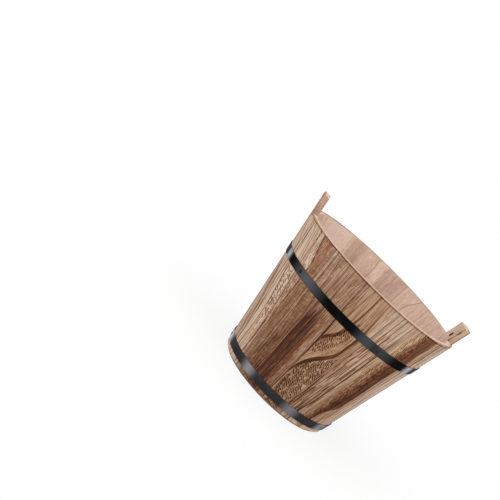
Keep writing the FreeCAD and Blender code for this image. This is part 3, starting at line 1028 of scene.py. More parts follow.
# Torch-burnt outside of each stave. Staves 10 to 18 stand in front, from left to right.
FACES: dict[str, BurntFace] = {
    # Level partly painted light: raised for the side light on this stave at the left.
    "stave_10": BurntFace(
        0.92, rise=0.05, pitch=3.0, lines=0.16, fibre=1.5, foot=0.5,
        flow=((0, 6.0), (50, 3.0), (118, -3.0), (160, -5.5), (205, -10.0)),
        streaks=(
            Streak(((150, -6.5, -1.5), (130, -4.3, 1.4), (102, -0.6, 1.7), (82, 2.9, 1.3), (72, 4.8, 1.0),
                    (58, 6.2, 0.8), (48, 7.0, 0.5), (40, 7.4, -1.0)), -0.42, (1.0, 1.0)),
            Streak(((84, -5.0, -1.5), (65, -1.8, 0.8), (56, 0.5, 1.0), (45, 2.4, 1.0), (33, 3.8, 0.9),
                    (20, 4.4, 0.8)), -0.18, (1.0, 1.0)),
            line((205, -7.0), (188, -3.6), (166, 3.6), half=0.6, depth=-0.3, soft=0.9),
            line((150, 3.8), (118, 4.4), (95, 6.6), (60, 9.4), half=0.5, depth=-0.32, soft=0.5),
            line((150, 7.0), (118, 8.0), (100, 9.4), half=0.5, depth=-0.36, soft=0.5),
            # Greyer band at this stave's outer edge: painted sheen of the white surround where the wall
            # turns away.
            Streak(((205, -9.0, 3.0), (0, -9.0, 3.0)), -0.05, (2.0, 2.4), Tint.GREY),
            *(line((160, place - 5.5), (118, place - 3.0), (50, place + 3.0), (0, place + 6.0), half=0.5,
                   depth=-0.14, soft=0.5) for place in (-6.2, -2.8, 1.0, 4.4)),
        ),
    ),
    "stave_11": BurntFace(
        0.965, rise=-0.04, pitch=4.0, lines=0.08, fibre=1.25, foot=0.24, pores=-0.1, pattern=0.4,
        flow=((0, 0.0), (60, 0.3), (90, -0.6), (125, -3.5), (160, -6.0), (205, -10.0)),
        streaks=(
            line((150, -9.6), (125, -7.4), (105, -5.2), (85, -3.3), (60, -2.7), (20, -3.5), half=0.6,
                 depth=-0.5, soft=0.5),
            Streak(((100, -6.4, -1.0), (80, -6.4, 3.0), (20, -6.4, 3.2)), -0.03, (1.0, 1.0), Tint.SAND),
            Streak(((205, 7.1, 2.4), (184, 8.2, 1.3), (166, 9.4, 0.1), (160, 9.8, -1.0)), -0.2, (0.3, 0.3),
                   Tint.RED),
            Streak(((92, 0.8, -0.8), (70, 0.8, 0.25), (20, 0.8, 0.3)), -0.3),
            Streak(((76, 3.2, -0.8), (58, 3.2, 0.35), (20, 3.0, 0.35)), -0.4),
            line((160, 0.6), (144, 1.6), (116, 3.7), (94, 5.3), (66, 6.4), (20, 5.3), half=0.45, depth=-0.3,
                 soft=0.5),
            Streak(((100, 6.6, -0.8), (80, 6.9, 0.3), (20, 6.5, 0.35)), -0.24),
            Streak(((156, -3.4, -1.0), (142, -2.6, 2.4), (116, -1.0, 2.6), (98, 0.4, -1.0)), 0.1,
                   (1.0, 1.0)),
            line((205, -5.8), (180, -3.3), (158, -0.8), half=0.4, depth=-0.3, soft=0.5),
            line((205, 4.7), (184, 6.9), (166, 9.2), half=0.5, depth=-0.44, soft=0.4),
            Streak(((166, 5.6, -1.0), (145, 5.7, 3.5), (115, 6.4, 3.0), (90, 6.7, 2.4), (60, 6.6, 2.0),
                    (20, 6.2, 2.1)), -0.17, (0.6, 0.6), Tint.ROSE),
        ),
        dashes=(
            DashField(Dash.BIRDS_EYE, ((44, 1.6, -1.5), (58, 1.6, 2.2), (78, 1.1, 3.4), (96, -0.2, 4.2),
                                       (116, -2.0, 4.6), (136, -3.4, 4.4), (150, -4.6, 3.0),
                                       (162, -5.4, -1.5)), -0.54, -62.0, 4.0),
            DashField(Dash.BIRDS_EYE, ((158, 3.0, -1.5), (172, 3.4, 3.0), (195, 0.6, 3.4), (205, -0.6, 2.0)),
                      -0.14, -62.0, 4.0),
            DashField(Dash.FLECK, ((150, 5.9, 3.2), (115, 6.2, 2.8), (90, 6.4, 1.9), (20, 6.0, 1.6)),
                      -0.28, 4.0, 1.0),
        ),
    ),
    "stave_12": BurntFace(
        0.665, rise=0.1, pitch=1.7, lines=0.12, fibre=0.65, foot=0.22, pores=-0.15,
        streaks=(
            Streak(((160, 0.0, -1.5), (130, 0.0, 9.6), (80, 0.0, 9.6), (55, 0.0, -1.5)), -0.06, (0.5, 0.5),
                   Tint.SAND),
            Streak(((205, 0.0, 1.2), (100, 0.0, 0.9), (0, -0.6, 1.0)), 0.09, (1.2, 1.2)),
            Streak(((205, -6.6, 2.2), (180, -6.0, 2.0), (160, -5.4, 1.7), (140, -5.0, -1.6)), -0.1,
                   (1.5, 1.7), Tint.RED),
            line((205, 4.4), (180, 5.9), (160, 6.6), (144, 7.5), (120, 9.0), half=0.4, depth=-0.26,
                 soft=0.5),
            Streak(((95, 7.0, -1.5), (72, 6.0, 2.6), (48, 4.6, 4.8), (20, 3.4, 5.8), (0, 3.4, 5.8)), -0.12,
                   (1.4, 1.0)),
            line((70, -1.4), (45, -1.3), (20, -1.2), half=0.35, depth=-0.22, soft=0.4),
            line((60, 1.2), (40, 1.3), (20, 1.4), depth=-0.16, soft=0.4),
            line((118, 1.8), (94, 3.9), half=0.4, depth=-0.12, soft=0.5),
        ),
        dashes=(DashField(Dash.RIPPLE, ((20, 0, 9), (200, 0, 9)), -0.13, 70.0, 2.0),),
    ),
    "stave_13": BurntFace(
        0.638, rise=0.06, pitch=1.9, lines=0.18, fibre=0.85, wander=2.0, foot=0.06, pores=-0.15,
        streaks=(
            Streak(((205, -4.3, 4.2), (120, -4.0, 4.5), (70, -3.6, 4.8), (0, -3.4, 5.2)), -0.33, (0.3, 2.4),
                   Tint.PLUM, (111, 177)),
            Streak(((200, -6.0, -0.6), (165, -6.0, 0.7), (60, -6.0, 0.9), (40, -6.0, -0.8)), -0.1,
                   (0.7, 0.7)),
            Streak(((86, -5.0, -1.5), (60, -5.0, 3.6), (0, -5.0, 3.6)), 0.08, (1.0, 1.0)),
            Streak(((62, -5.0, -1.5), (40, -5.0, 3.6), (0, -5.0, 3.6)), 0.04, (1.0, 1.0), Tint.GREY),
            Streak(((205, -6.4, 2.4), (110, -6.2, 2.6), (70, -6.8, 2.4), (0, -6.8, 2.2)), -0.05, (0.4, 1.4),
                   Tint.RED, (60, 140)),
            Streak(((205, -7.2, 0.7), (165, -7.6, 0.8), (120, -7.8, 0.8)), -0.14, (0.6, 0.6)),
            Streak(((205, -3.0, 0.7), (165, -2.8, 0.8), (120, -2.6, 0.8)), -0.14, (0.6, 0.6)),
            Streak(((205, 2.4, 1.2), (100, 2.9, 1.4), (0, 3.4, 1.5)), -0.17, (1.4, 1.4), Tint.RED,
                   (110, 165)),
            Streak(((205, 5.8, 0.1), (160, 7.0, 0.25), (140, 8.0, 0.5), (120, 8.6, 0.55), (80, 9.4, 0.5),
                    (55, 9.8, 0.4)), -0.5, (0.4, 0.4)),
            line((205, 3.8), (150, 5.0), (110, 6.6), half=0.15, depth=-0.1),
        ),
        dashes=(DashField(Dash.FLECK, ((20, 4.6, 3.6), (150, 3.6, 4.0), (200, 3.0, 4.0)), -0.12, 6.0, 0.6),),
    ),
    "stave_14": BurntFace(
        0.68, rise=0.05, tint=Tint.GOLD, pitch=2.2, lines=0.2, fibre=0.85, wander=2.0, foot=0.04,
        pores=-0.08,
        flow=((0, -2.0), (60, -5.0), (75, -4.0), (90, -1.0), (105, 2.5), (120, 4.0), (150, 4.5), (205, 2.5)),
        streaks=(
            Streak(((205, 4.4, -0.1), (180, 6.0, 0.1), (160, 7.3, 0.5), (150, 7.6, 0.75), (126, 7.0, 0.9),
                    (112, 6.0, 1.2), (103, 3.9, 1.6), (93, 0.0, 1.9), (83, -3.6, 1.6), (72, -6.7, 1.1),
                    (62, -8.3, 0.7), (50, -9.2, 0.3)), -0.5, (0.5, 0.6)),
            Streak(((205, -1.4, 0.4), (165, -1.3, 0.5), (150, -2.0, 0.8), (140, -2.6, 1.0), (132, -3.8, 1.3),
                    (124, -6.5, 1.3), (116, -8.9, 0.9), (108, -9.8, 0.4)), -0.44, (0.5, 0.9)),
            Streak(((205, -6.2, 0.2), (180, -7.0, 0.3), (160, -7.3, 0.3), (142, -8.0, -0.8)), -0.3,
                   (0.4, 0.5)),
            Streak(((0, -1.0, 7.4), (20, -0.4, 8.4), (60, 0.6, 8.6), (75, 2.0, 7.2), (88, 4.8, 4.6),
                    (98, 7.2, 2.4), (110, 9.0, -1.5)), 0.05, (0.8, 0.8)),
            Streak(((205, 0.0, 9.6), (170, 0.0, 9.6), (148, 0.0, -1.5)), -0.02, (0.5, 0.5), Tint.MAUVE),
            Streak(((98, -5.6, -1.0), (82, -5.6, 2.6), (44, -5.0, 3.0), (28, -5.0, -1.0)), -0.07,
                   (1.2, 1.2)),
            Streak(((128, 5.6, -1.0), (112, 5.4, 2.2), (50, 5.0, 2.6), (20, 5.0, 2.4)), 0.05, (1.2, 1.2)),
            Streak(((205, 7.4, 3.0), (180, 8.3, 2.3), (160, 9.1, 1.6), (144, 9.4, -1.0)), 0.1, (0.5, 0.5),
                   Tint.MAUVE),
        ),
        dashes=(
            DashField(Dash.FLAME, ((84, 3.8, -1.5), (90, 5.3, 4.2), (98, 7.2, 2.4), (106, 8.8, 0.8),
                                   (114, 9.2, -1.5)), -0.58, -16.0, 2.4),
            DashField(Dash.FLAME, ((52, 0.3, -1.5), (57, 0.6, 8.6), (75, 2.0, 7.2), (83, 3.8, 5.4),
                                   (89, 5.0, -1.5)), -0.58, -44.0, 3.0),
            DashField(Dash.FLAME, ((0, -0.2, 6.4), (20, 0.4, 7.4), (48, 0.6, 8.4), (54, 0.6, -1.5)),
                      -0.58, -36.0, 3.0),
            DashField(Dash.DOT, ((90, -8.0, -1.5), (98, -6.6, 2.2), (110, -4.4, 3.8), (125, -2.0, 3.8),
                                 (140, 0.6, 3.0), (152, 0.8, 2.2), (166, 1.2, -1.5)), -0.46, -34.0, 4.0),
            DashField(Dash.FLECK, ((92, -3.6, -1.5), (104, 0.0, 2.6), (125, 3.4, 2.8), (150, 4.4, 2.4),
                                   (166, 4.4, -1.5)), -0.16, 8.0, 1.6),
        ),
    ),
    "stave_15": BurntFace(
        0.805, rise=0.075, pitch=2.6, lines=0.1, fibre=0.9, wander=2.0, foot=0.34, pores=-0.16,
        flow=((0, -3.0), (60, -1.8), (140, 1.0), (205, 2.2)),
        streaks=(
            Streak(((205, 5.8, 0.1), (165, 5.9, 0.3), (144, 5.9, 0.5), (94, 5.4, 0.5), (46, 3.8, 0.5),
                    (20, 1.7, 0.5)), -0.46, (0.4, 0.4)),
            line((118, 3.0), (95, 2.8), (80, 2.4), half=0.4, depth=-0.12, soft=0.4),
            Streak(((140, -5.6, -0.8), (126, -5.7, 0.6), (80, -6.2, 0.6), (66, -6.2, -0.8)), -0.2,
                   (0.6, 0.6)),
            Streak(((84, 1.6, -0.8), (70, 1.6, 0.6), (24, 1.0, 0.6)), -0.26, (0.6, 0.6)),
            Streak(((205, 7.4, 1.8), (166, 7.4, 1.8), (150, 7.4, -1.0)), -0.12, (1.0, 0.4)),
            line((84, 0.2), (50, -0.6), (20, -1.4), half=0.4, depth=-0.34, soft=0.4),
            line((145, -2.6), (100, -4.0), (60, -5.6), (20, -7.0), half=0.4, depth=-0.26, soft=0.4),
            line((140, -6.6), (100, -7.2), (20, -8.4), half=0.4, depth=-0.24, soft=0.4),
            Streak(((160, -9.2, -1.0), (140, -9.2, 2.2), (80, -8.8, 2.4), (20, -8.6, 2.2)), -0.12,
                   (0.4, 2.0)),
            Streak(((165, 0.0, -1.5), (130, 0.0, 9.6), (0, 0.0, 9.6)), 0.0, (0.5, 0.5), Tint.SAND),
        ),
        dashes=(
            DashField(Dash.LONG_FLECK, ((0, -2.0, 8.0), (130, -1.0, 7.0), (165, 0.0, 4.0),
                                        (200, 0.0, -1.5)), -0.42, 3.0, 0.5),
        ),
    ),
    "stave_16": BurntFace(
        0.78, rise=0.09, tint=Tint.GOLD, pitch=3.0, lines=0.14, fibre=0.9, foot=0.4,
        flow=((0, -3.0), (60, -1.0), (140, 0.5), (205, 1.0)),
        streaks=(
            Streak(((205, 3.6, 5.6), (150, 3.8, 5.6), (100, 3.8, 5.8), (70, 3.4, 6.0), (54, 2.8, 5.8),
                    (46, 0.6, 4.0), (38, -1.4, 2.4), (28, -2.4, 1.8), (14, -2.8, 1.6), (0, -3.0, 1.6)),
                   -0.42, (3.0, 0.5), Tint.RED),
            Streak(((148, -5.9, -1.0), (130, -5.9, 0.9), (100, -5.9, 0.9), (84, -5.9, -1.0)), -0.12,
                   (0.8, 0.8)),
            Streak(((150, 7.8, -1.0), (128, 7.8, 1.8), (100, 7.8, 1.8), (80, 7.8, -1.0)), -0.12, (1.0, 0.4)),
            Streak(((100, -5.6, -1.0), (86, -5.6, 2.6), (44, -5.4, 2.6), (30, -5.4, -1.0)), -0.06,
                   (1.2, 1.2)),
            Streak(((205, 6.6, 3.0), (100, 6.4, 3.2), (62, 6.0, 3.2), (50, 4.0, -1.0)), -0.06, (2.0, 0.4)),
            Streak(((150, 0.0, -1.5), (130, 0.0, 9.6), (0, 0.0, 9.6)), 0.0, (0.5, 0.5), Tint.SAND),
        ),
        dashes=(
            DashField(Dash.FLECK, ((205, -3.0, 4.4), (150, -2.0, 5.8), (100, -1.6, 6.4), (50, -2.4, 5.6),
                                   (14, -4.0, 4.4)), -0.32, -22.0, 2.6),
        ),
    ),
    # Level partly painted light: raised for the side light on this stave at the right.
    "stave_17": BurntFace(
        1.04, rise=-0.02, pitch=3.0, lines=0.24, fibre=1.6, wander=1.5, foot=0.4,
        streaks=(
            Streak(((205, -9.6, 2.2), (60, -9.6, 2.0), (30, -9.6, 1.6), (14, -9.6, -1.0)), -0.4, (0.5, 1.4)),
            # Paler, greyer band at this stave's outer edge: painted sheen of the white surround where the
            # wall turns away.
            Streak(((205, 9.0, 3.0), (0, 9.0, 3.0)), 0.04, (2.4, 2.0), Tint.GREY),
            Streak(((205, -2.4, 3.0), (0, -2.4, 3.0)), -0.02, (1.5, 1.5), Tint.SAND),
            *(line((205, place + 0.6), (140, place), (20, place - 0.3), half=0.6, depth=depth, soft=0.5)
              for place, depth in ((-6.4, -0.5), (-4.6, -0.28), (-2.8, -0.5), (0.2, -0.34), (2.6, -0.5),
                                   (5.4, -0.34))),
        ),
    ),
    "stave_18": BurntFace(0.82, rise=0.02, pitch=2.6, lines=0.24, fibre=0.9, wander=1.5, foot=0.2),
    "handle_stave_right": BurntFace(0.62, pitch=1.8, lines=0.3, wander=1.5),
    "handle_stave_left": BurntFace(0.66, tint=Tint.ROSE, pitch=2.2, lines=0.26, wander=2.0),
    "stave_01": BurntFace(0.76, pitch=2.4, lines=0.34),
    "stave_02": BurntFace(
        0.68, tint=Tint.RED, pitch=2.0, lines=0.24,
        streaks=(Streak(((205, -3.0, 2.6), (120, -2.0, 3.4), (0, -3.6, 2.8)), -0.3, (2.2, 0.5), Tint.RED),),
    ),
    "stave_03": BurntFace(
        0.76, pitch=2.3, lines=0.26,
        flow=((0, 3.0), (70, 4.0), (110, 1.0), (150, -3.0), (205, -4.0)),
        streaks=(
            Streak(((205, -6.0, 0.4), (150, -4.6, 0.7), (120, -0.8, 1.3), (100, 3.4, 1.1), (70, 7.6, 0.5)),
                   -0.5, (0.4, 0.5)),
            Streak(((130, -8.0, 0.5), (105, -5.0, 1.0), (85, 0.4, 1.2), (60, 4.6, 0.8), (30, 6.4, 0.3)),
                   -0.42, (0.4, 0.5)),
        ),
        dashes=(
            DashField(Dash.FLAME, ((20, -2.0, 5.5), (60, -2.5, 5.0), (90, -5.0, 2.5), (105, -7.0, -1.5)),
                      -0.4, 36.0, 2.8),
        ),
    ),
    "stave_04": BurntFace(
        0.80, tint=Tint.ROSE, pitch=3.2, lines=0.2, flow=((0, -3.0), (100, 0.0), (205, 4.0)),
    ),
    "stave_05": BurntFace(
        0.66, pitch=1.8, lines=0.36, wander=2.0, foot=0.0,
        streaks=(Streak(((205, 4.6, 3.4), (100, 4.0, 4.2), (0, 4.4, 3.6)), -0.36, (1.6, 0.3), Tint.RED),),
    ),
    "stave_06": BurntFace(
        0.78, tint=Tint.GOLD, pitch=2.8, lines=0.24,
        dashes=(DashField(Dash.FLECK, ((20, 2.0, 4.0), (190, 1.0, 4.0)), -0.16, 20.0),),
    ),
    "stave_07": BurntFace(
        0.68, tint=Tint.RED, pitch=2.0, lines=0.3,
        dashes=(DashField(Dash.LONG_FLECK, ((0, 0.0, 8.0), (205, 0.0, 8.0)), -0.26),),
    ),
    "stave_08": BurntFace(
        0.82, pitch=3.6, lines=0.16, flow=((0, 2.0), (90, 0.0), (205, -5.0)),
        dashes=(
            DashField(Dash.BIRDS_EYE, ((40, 0.0, 3.0), (120, -1.5, 4.0), (180, -3.0, 2.5)), -0.2, -60.0),
        ),
    ),
    "stave_09": BurntFace(0.75, pitch=2.2, lines=0.32, wander=2.0),
}

# Raw inside of the staves that show one. The front staves share the plain inside.
INSIDES: dict[str, RawFace] = {
    "stave_01": RawFace(0.70, stains=(line((205, 2.0), (175, 4.0), half=0.8, depth=-0.14, soft=0.8),)),
    "stave_02": RawFace(0.76, fibre=0.9, stains=(
        line((205, 3.6), (178, 2.8), half=0.4, depth=-0.3, soft=0.5),
        line((205, -7.0), (178, -7.6), half=0.4, depth=-0.3, soft=0.5),
    )),
    "stave_03": RawFace(0.74, fibre=1.1, stains=(
        line((205, -6.4), (199, -4.8), (188, -1.5), (178, 0.2), half=0.4, depth=-0.42, soft=0.5),
        line((205, 5.0), (175, 4.2), half=0.5, depth=-0.1, soft=0.8),
    )),
    "stave_04": RawFace(0.54, Tint.MAUVE, stains=(
        line((205, 2.0), (170, 3.0), half=0.4, depth=-0.1, soft=0.6),
        line((205, -4.6), (170, -3.8), half=0.4, depth=-0.1, soft=0.6),
        *(line((205, edge), (150, edge), half=0.2, depth=-0.3, soft=0.4) for edge in (-9.2, 9.2)),
    )),
    "stave_05": RawFace(0.72, fibre=1.1, stains=(
        line((205, 0.2), (188, -0.6), (168, -0.4), half=0.35, depth=-0.4, soft=0.5),
        Streak(((205, -5.0, 3.6), (165, -5.0, 3.6)), 0.1, (1.0, 1.0)),
    )),
    "stave_06": RawFace(0.56, stains=(
        Streak(((205, 8.4, 2.6), (165, 8.4, 2.6)), 0.26, (0.6, 0.6)),
        Streak(((205, -8.0, 2.2), (165, -8.0, 2.2)), 0.16, (0.6, 0.6)),
        line((205, -1.0), (170, -0.4), half=0.5, depth=-0.14, soft=0.8),
    )),
    "stave_07": RawFace(1.02),
    # Staves 08 and 09 are paler inside, partly as painted light that lifts the shade on the inside's left.
    "stave_08": RawFace(1.04, stains=(
        Streak(((205, 6.0, 1.6), (170, 5.0, 2.4)), -0.24, (1.6, 1.6)),
        Streak(((205, -1.0, 0.8), (170, -1.6, 1.4)), -0.14, (1.0, 1.0)),
    )),
    "stave_09": RawFace(0.82, Tint.SAND, stains=(
        Streak(((205, 2.0, 2.0), (150, 1.0, 3.0)), -0.18, (2.0, 2.0)),
    )),
    "handle_stave_right": RawFace(0.64),
    # Paler inside, partly as painted light that lifts the shade on the inside's left.
    "handle_stave_left": RawFace(0.68, Tint.SAND),
}
PLAIN_INSIDE = RawFace(0.62)
# Walls of the rope holes: a dark burnt colour that is painted shade inside the hole.
PAINTED_SHADE_BORE = RawFace(0.24, Tint.RED, shade=Shade.BURNT)

# Long sides of the two tall staves, which show above the rim.
SIDES: dict[str, SideFace] = {
    "handle_stave_right": SideFace(0.48, Tint.SAND, stains=(
        Streak(((229, 8.2, -0.6), (222, 7.4, 1.2), (216, 8.0, -0.6)), -0.5, (0.6, 0.6)),
        Streak(((221, 7.8, -0.6), (216, 8.2, 0.4), (212, 8.4, 0.4), (207, 7.8, 1.3), (196, 7.6, 1.6)), -0.26,
               (0.6, 0.6)),
        Streak(((232, 0.0, 0.9), (205, 0.0, 1.1)), -0.5, (0.5, 0.6)),
    )),
    "handle_stave_left": SideFace(0.41, Tint.SAND, stains=(
        Streak(((232, 0.0, 0.5), (205, 0.0, 0.6)), -0.7, (0.5, 0.6)),
        Streak(((232, 9.0, 0.5), (218, 9.0, 0.3), (205, 9.0, -0.4)), -0.3, (0.6, 0.6)),
        Streak(((222, 3.0, -1.0), (212, 3.5, 2.5), (200, 4.0, 4.0)), -0.18, (2.0, 2.0)),
    )),
}


@dataclass(frozen=True)
class Wall:
    """The leaning wall that every piece is set out from."""

    base_radius: float = 0.085
    rim_radius: float = 0.125
    thickness: float = 0.009
    groove_depth: float = 0.003
    rim_height: float = field(default_factory=lambda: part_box("stave_01")[1].z)
    handle_top: float = field(default_factory=lambda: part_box("handle_stave_right")[1].z)

    # Lean of the wall as the finishes take it: 40 mm out over the 205 mm up to the rim.
    SLOPE = 40.0 / 205.0

    @property
    def flare(self) -> float:
        """How far the wall leans out for each metre up."""
        return (self.rim_radius - self.base_radius) / self.rim_height

    def outer(self, height: float) -> float:
        """Radius of the outside face at a height."""
        return self.base_radius + self.flare * height

    def inner(self, height: float) -> float:
        """Radius of the inside face at a height."""
        return self.outer(height) - self.thickness

    @staticmethod
    def around(radius: float, turn: float, height: float) -> Vector:
        """Point at a radius, an angle in degrees and a height."""
        angle = math.radians(turn)
        return Vector((radius * math.cos(angle), radius * math.sin(angle), height))

    def seat(self, turn: float, height: float) -> Matrix:
        """Frame on the outside face.

        Args:
            turn: angle round the planter, in degrees.
            height: height above the floor.

        Returns:
            A matrix whose Z points square out of the wall, and whose Y points up the wall.
        """
        lean = math.atan(self.flare)
        tilt = Matrix.Rotation(math.pi / 2 + lean, 4, "Y")
        stand = Matrix.Rotation(math.pi / 2, 4, "Z")
        round_axis = Matrix.Rotation(math.radians(turn), 4, "Z")
        return Matrix.Translation(self.around(self.outer(height), turn, height)) @ round_axis @ tilt @ stand


def finish_piece(
    mesh_maker: bmesh.types.BMesh, node: str, materials: list[bpy.types.Material]
) -> bpy.types.Object:
    """Make a finished piece that stands for a CAD node.

    Args:
        mesh_maker: the piece's mesh, which is freed.
        node: the CAD node.
        materials: the piece's materials, by its faces' numbers.

    Returns:
        The piece, riding on the planter's one body.
    """
    sharp_angle = math.radians(40)
    mesh = bpy.data.meshes.new(f"{node}_finished")
    mesh_maker.to_mesh(mesh)
    mesh_maker.free()
    for material in materials:
        mesh.materials.append(material)
    mesh.shade_smooth()
    mesh.set_sharp_from_angle(angle=sharp_angle)
    piece = bpy.data.objects.new(f"{node}_finished", mesh)
    bpy.context.scene.collection.objects.link(piece)
    normals = piece.modifiers.new("even_shading", "WEIGHTED_NORMAL")
    normals.keep_sharp = True
    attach(piece, BODY)
    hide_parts(node)
    LOG.info("%s: %d faces", piece.name, len(mesh.polygons))
    return piece


def bevel(
    mesh_maker: bmesh.types.BMesh, edges: list[bmesh.types.BMEdge], width: float, steps: int = 2
) -> None:
    """Round edges off by a width."""
    bmesh.ops.bevel(
        mesh_maker, geom=edges, offset=width, offset_type="OFFSET", segments=steps, profile=0.5,
        affect="EDGES", material=-1, clamp_overlap=True,
    )


def corner_edges(mesh_maker: bmesh.types.BMesh, least: float = 60.0) -> list[bmesh.types.BMEdge]:
    """Edges whose two faces meet at more than an angle in degrees."""
    return [edge for edge in mesh_maker.edges
            if edge.is_manifold and edge.calc_face_angle() > math.radians(least)]


class StaveFace(IntEnum):
    """Faces of a stave, numbered as their materials are."""

    BURNT = 0
    RAW = 1
    END = 2
    SIDE = 3
    BORE = 4


@dataclass(frozen=True)
class StavePlace:
    """One stave's place in the wall: the angle of its middle, the angle it fills and its top."""

    node: str
    middle: float
    angle: float
    top: float


@dataclass
class StaveWall:
    """The ring of staves, two of them tall with a rope hole."""

    wall: Wall
    front_count: int = 9
    front_angle: float = 18.8
    back_count: int = 9
    handle_angle: float = 15.0
    foot_bevel: float = 0.0025
    arris: float = 0.0006
    groove_low: float = 0.012
    groove_high: float = 0.0212
    hole_radius: float = 0.004
    hole_rise: float = 0.005
    hole_ease: float = 0.0007
    steps: int = 10
    ease_steps: int = 3

    # Corners and turns are in degrees; facing, upright and level are parts of a face's normal.
    SOFT_CORNER = 20.0
    HOLE_CORNER = 50.0
    HOLE_MARGIN = 1.02
    NEAR = 1e-5
    NEAR_TURN = 0.01
    FACING = 0.5
    UPRIGHT = 0.4
    LEVEL = 0.7
    FIRST_SEED = 1.7
    SEED_STEP = 5.3
    INSIDE_SEED = 2.1
    SIDE_SEED = 4.2

    def layout(self) -> list[StavePlace]:
        """Set the ring out.

        Returns:
            The places of the two tall staves, then of the back ones, then of the front ones.
        """
        wall = self.wall
        front_arc = self.front_count * self.front_angle
        back_angle = (360 - 2 * self.handle_angle - front_arc) / self.back_count
        right_edge = front_arc / 2 - 90
        left_edge = 270 - front_arc / 2
        back_edge = right_edge + self.handle_angle
        half_handle = self.handle_angle / 2
        places = [
            StavePlace("handle_stave_right", right_edge + half_handle, self.handle_angle, wall.handle_top),
            StavePlace("handle_stave_left", left_edge - half_handle, self.handle_angle, wall.handle_top),
        ]
        for number in range(self.back_count):
            middle = back_edge + (number + 0.5) * back_angle
            places.append(StavePlace(f"stave_{number + 1:02d}", middle, back_angle, wall.rim_height))
        for number in range(self.front_count):
            middle = left_edge + (number + 0.5) * self.front_angle
            node = f"stave_{self.back_count + number + 1:02d}"
            places.append(StavePlace(node, middle, self.front_angle, wall.rim_height))
        return places

    def blank(self, place: StavePlace) -> bmesh.types.BMesh:
        """Sweep a stave's section through its angle.

        Args:
            place: the stave's place.

        Returns:
            A closed mesh with sharp edges.
        """
        wall = self.wall
        groove = wall.inner(self.groove_low) + wall.groove_depth
        section = [
            (wall.inner(0.0), 0.0),
            (wall.base_radius - self.foot_bevel, 0.0),
            (wall.outer(self.foot_bevel), self.foot_bevel),
            (wall.outer(place.top), place.top),
            (wall.inner(place.top), place.top),
            (wall.inner(self.groove_high), self.groove_high),
            (groove, self.groove_high),
            (groove, self.groove_low),
            (wall.inner(self.groove_low), self.groove_low),
        ]
        start = place.middle - place.angle / 2
        stave = bmesh.new()
        face = stave.faces.new([stave.verts.new(wall.around(radius, start, up)) for radius, up in section])
        bmesh.ops.spin(
            stave, geom=[face], cent=(0, 0, 0), axis=(0, 0, 1), angle=math.radians(place.angle),
            steps=self.steps, use_duplicate=False,
        )
        bmesh.ops.recalc_face_normals(stave, faces=stave.faces[:])
        return stave

    def is_tall(self, place: StavePlace) -> bool:
        """Whether a stave runs on above the rim."""
        return place.top > self.wall.rim_height

    def turn_of(self, point: Vector, place: StavePlace) -> float:
        """Angle of a point from a stave's middle, in degrees."""
        turn = math.degrees(math.atan2(point.y, point.x)) - place.middle
        return (turn + 180) % 360 - 180

    def bore(self, stave: bmesh.types.BMesh, place: StavePlace) -> None:
        """Open a tall stave's rope hole: a patch of each face gives way to a ring, and the rings are joined.

        Args:
            stave: the stave's mesh.
            place: the stave's place.
        """
        wall = self.wall
        middle_height = wall.rim_height + self.hole_rise
        half_patch = 2
        patch_reach = 1.5
        row = patch_reach * self.hole_radius / half_patch
        for number in range(-half_patch, half_patch + 1):
            level = (0, 0, middle_height + number * row)
            geometry = stave.verts[:] + stave.edges[:] + stave.faces[:]
            bmesh.ops.bisect_plane(stave, geom=geometry, plane_co=level, plane_no=(0, 0, 1))
        half_turn = half_patch * place.angle / self.steps
        seat = wall.seat(place.middle, middle_height)
        depth = wall.thickness * math.cos(math.atan(wall.flare))
        rings = []
        for sink, radius_at in ((0.0, wall.outer), (-depth, wall.inner)):
            patch = [
                face for face in stave.faces
                if self.in_patch(face, place, half_turn, row * half_patch, radius_at)
            ]
            ring = [edge for edge in stave.edges if sum(face in patch for face in edge.link_faces) == 1]
            for corner in {vert for edge in ring for vert in edge.verts}:
                local = seat.inverted() @ corner.co
                spoke = Vector((local.x, local.y - self.slip(sink), 0)).normalized() * self.hole_radius
                bow = spoke.x ** 2 / (2 * wall.outer(middle_height))
                corner.co = seat @ Vector((spoke.x, spoke.y, sink - bow))
            bmesh.ops.delete(stave, geom=patch, context="FACES")
            rings.append(ring)
        bore = bmesh.ops.bridge_loops(stave, edges=rings[0] + rings[1])
        for face in bore["faces"]:
            face.material_index = StaveFace.BORE
        bmesh.ops.recalc_face_normals(stave, faces=stave.faces[:])

    def slip(self, sink: float) -> float:
        """How far up the wall a level patch on the inside face lies from the hole's axis."""
        return sink * self.wall.flare

    def in_patch(
        self, face: bmesh.types.BMFace, place: StavePlace, half_turn: float, half_height: float,
        radius_at: Callable[[float], float],
    ) -> bool:
        """Whether a face belongs to the patch that a rope hole takes from one side of the wall.

        Args:
            face: the face.
            place: the stave's place.
            half_turn: half the patch's angle, in degrees.
            half_height: half the patch's height.
            radius_at: the side's radius at a height.

        Returns:
            True for a face of the patch.
        """
        middle = face.calc_center_median()
        near_side = abs(middle.to_2d().length - radius_at(middle.z)) < self.wall.thickness / 4
        near_height = abs(middle.z - self.wall.rim_height - self.hole_rise) < half_height
        return near_side and near_height and abs(self.turn_of(middle, place)) < half_turn

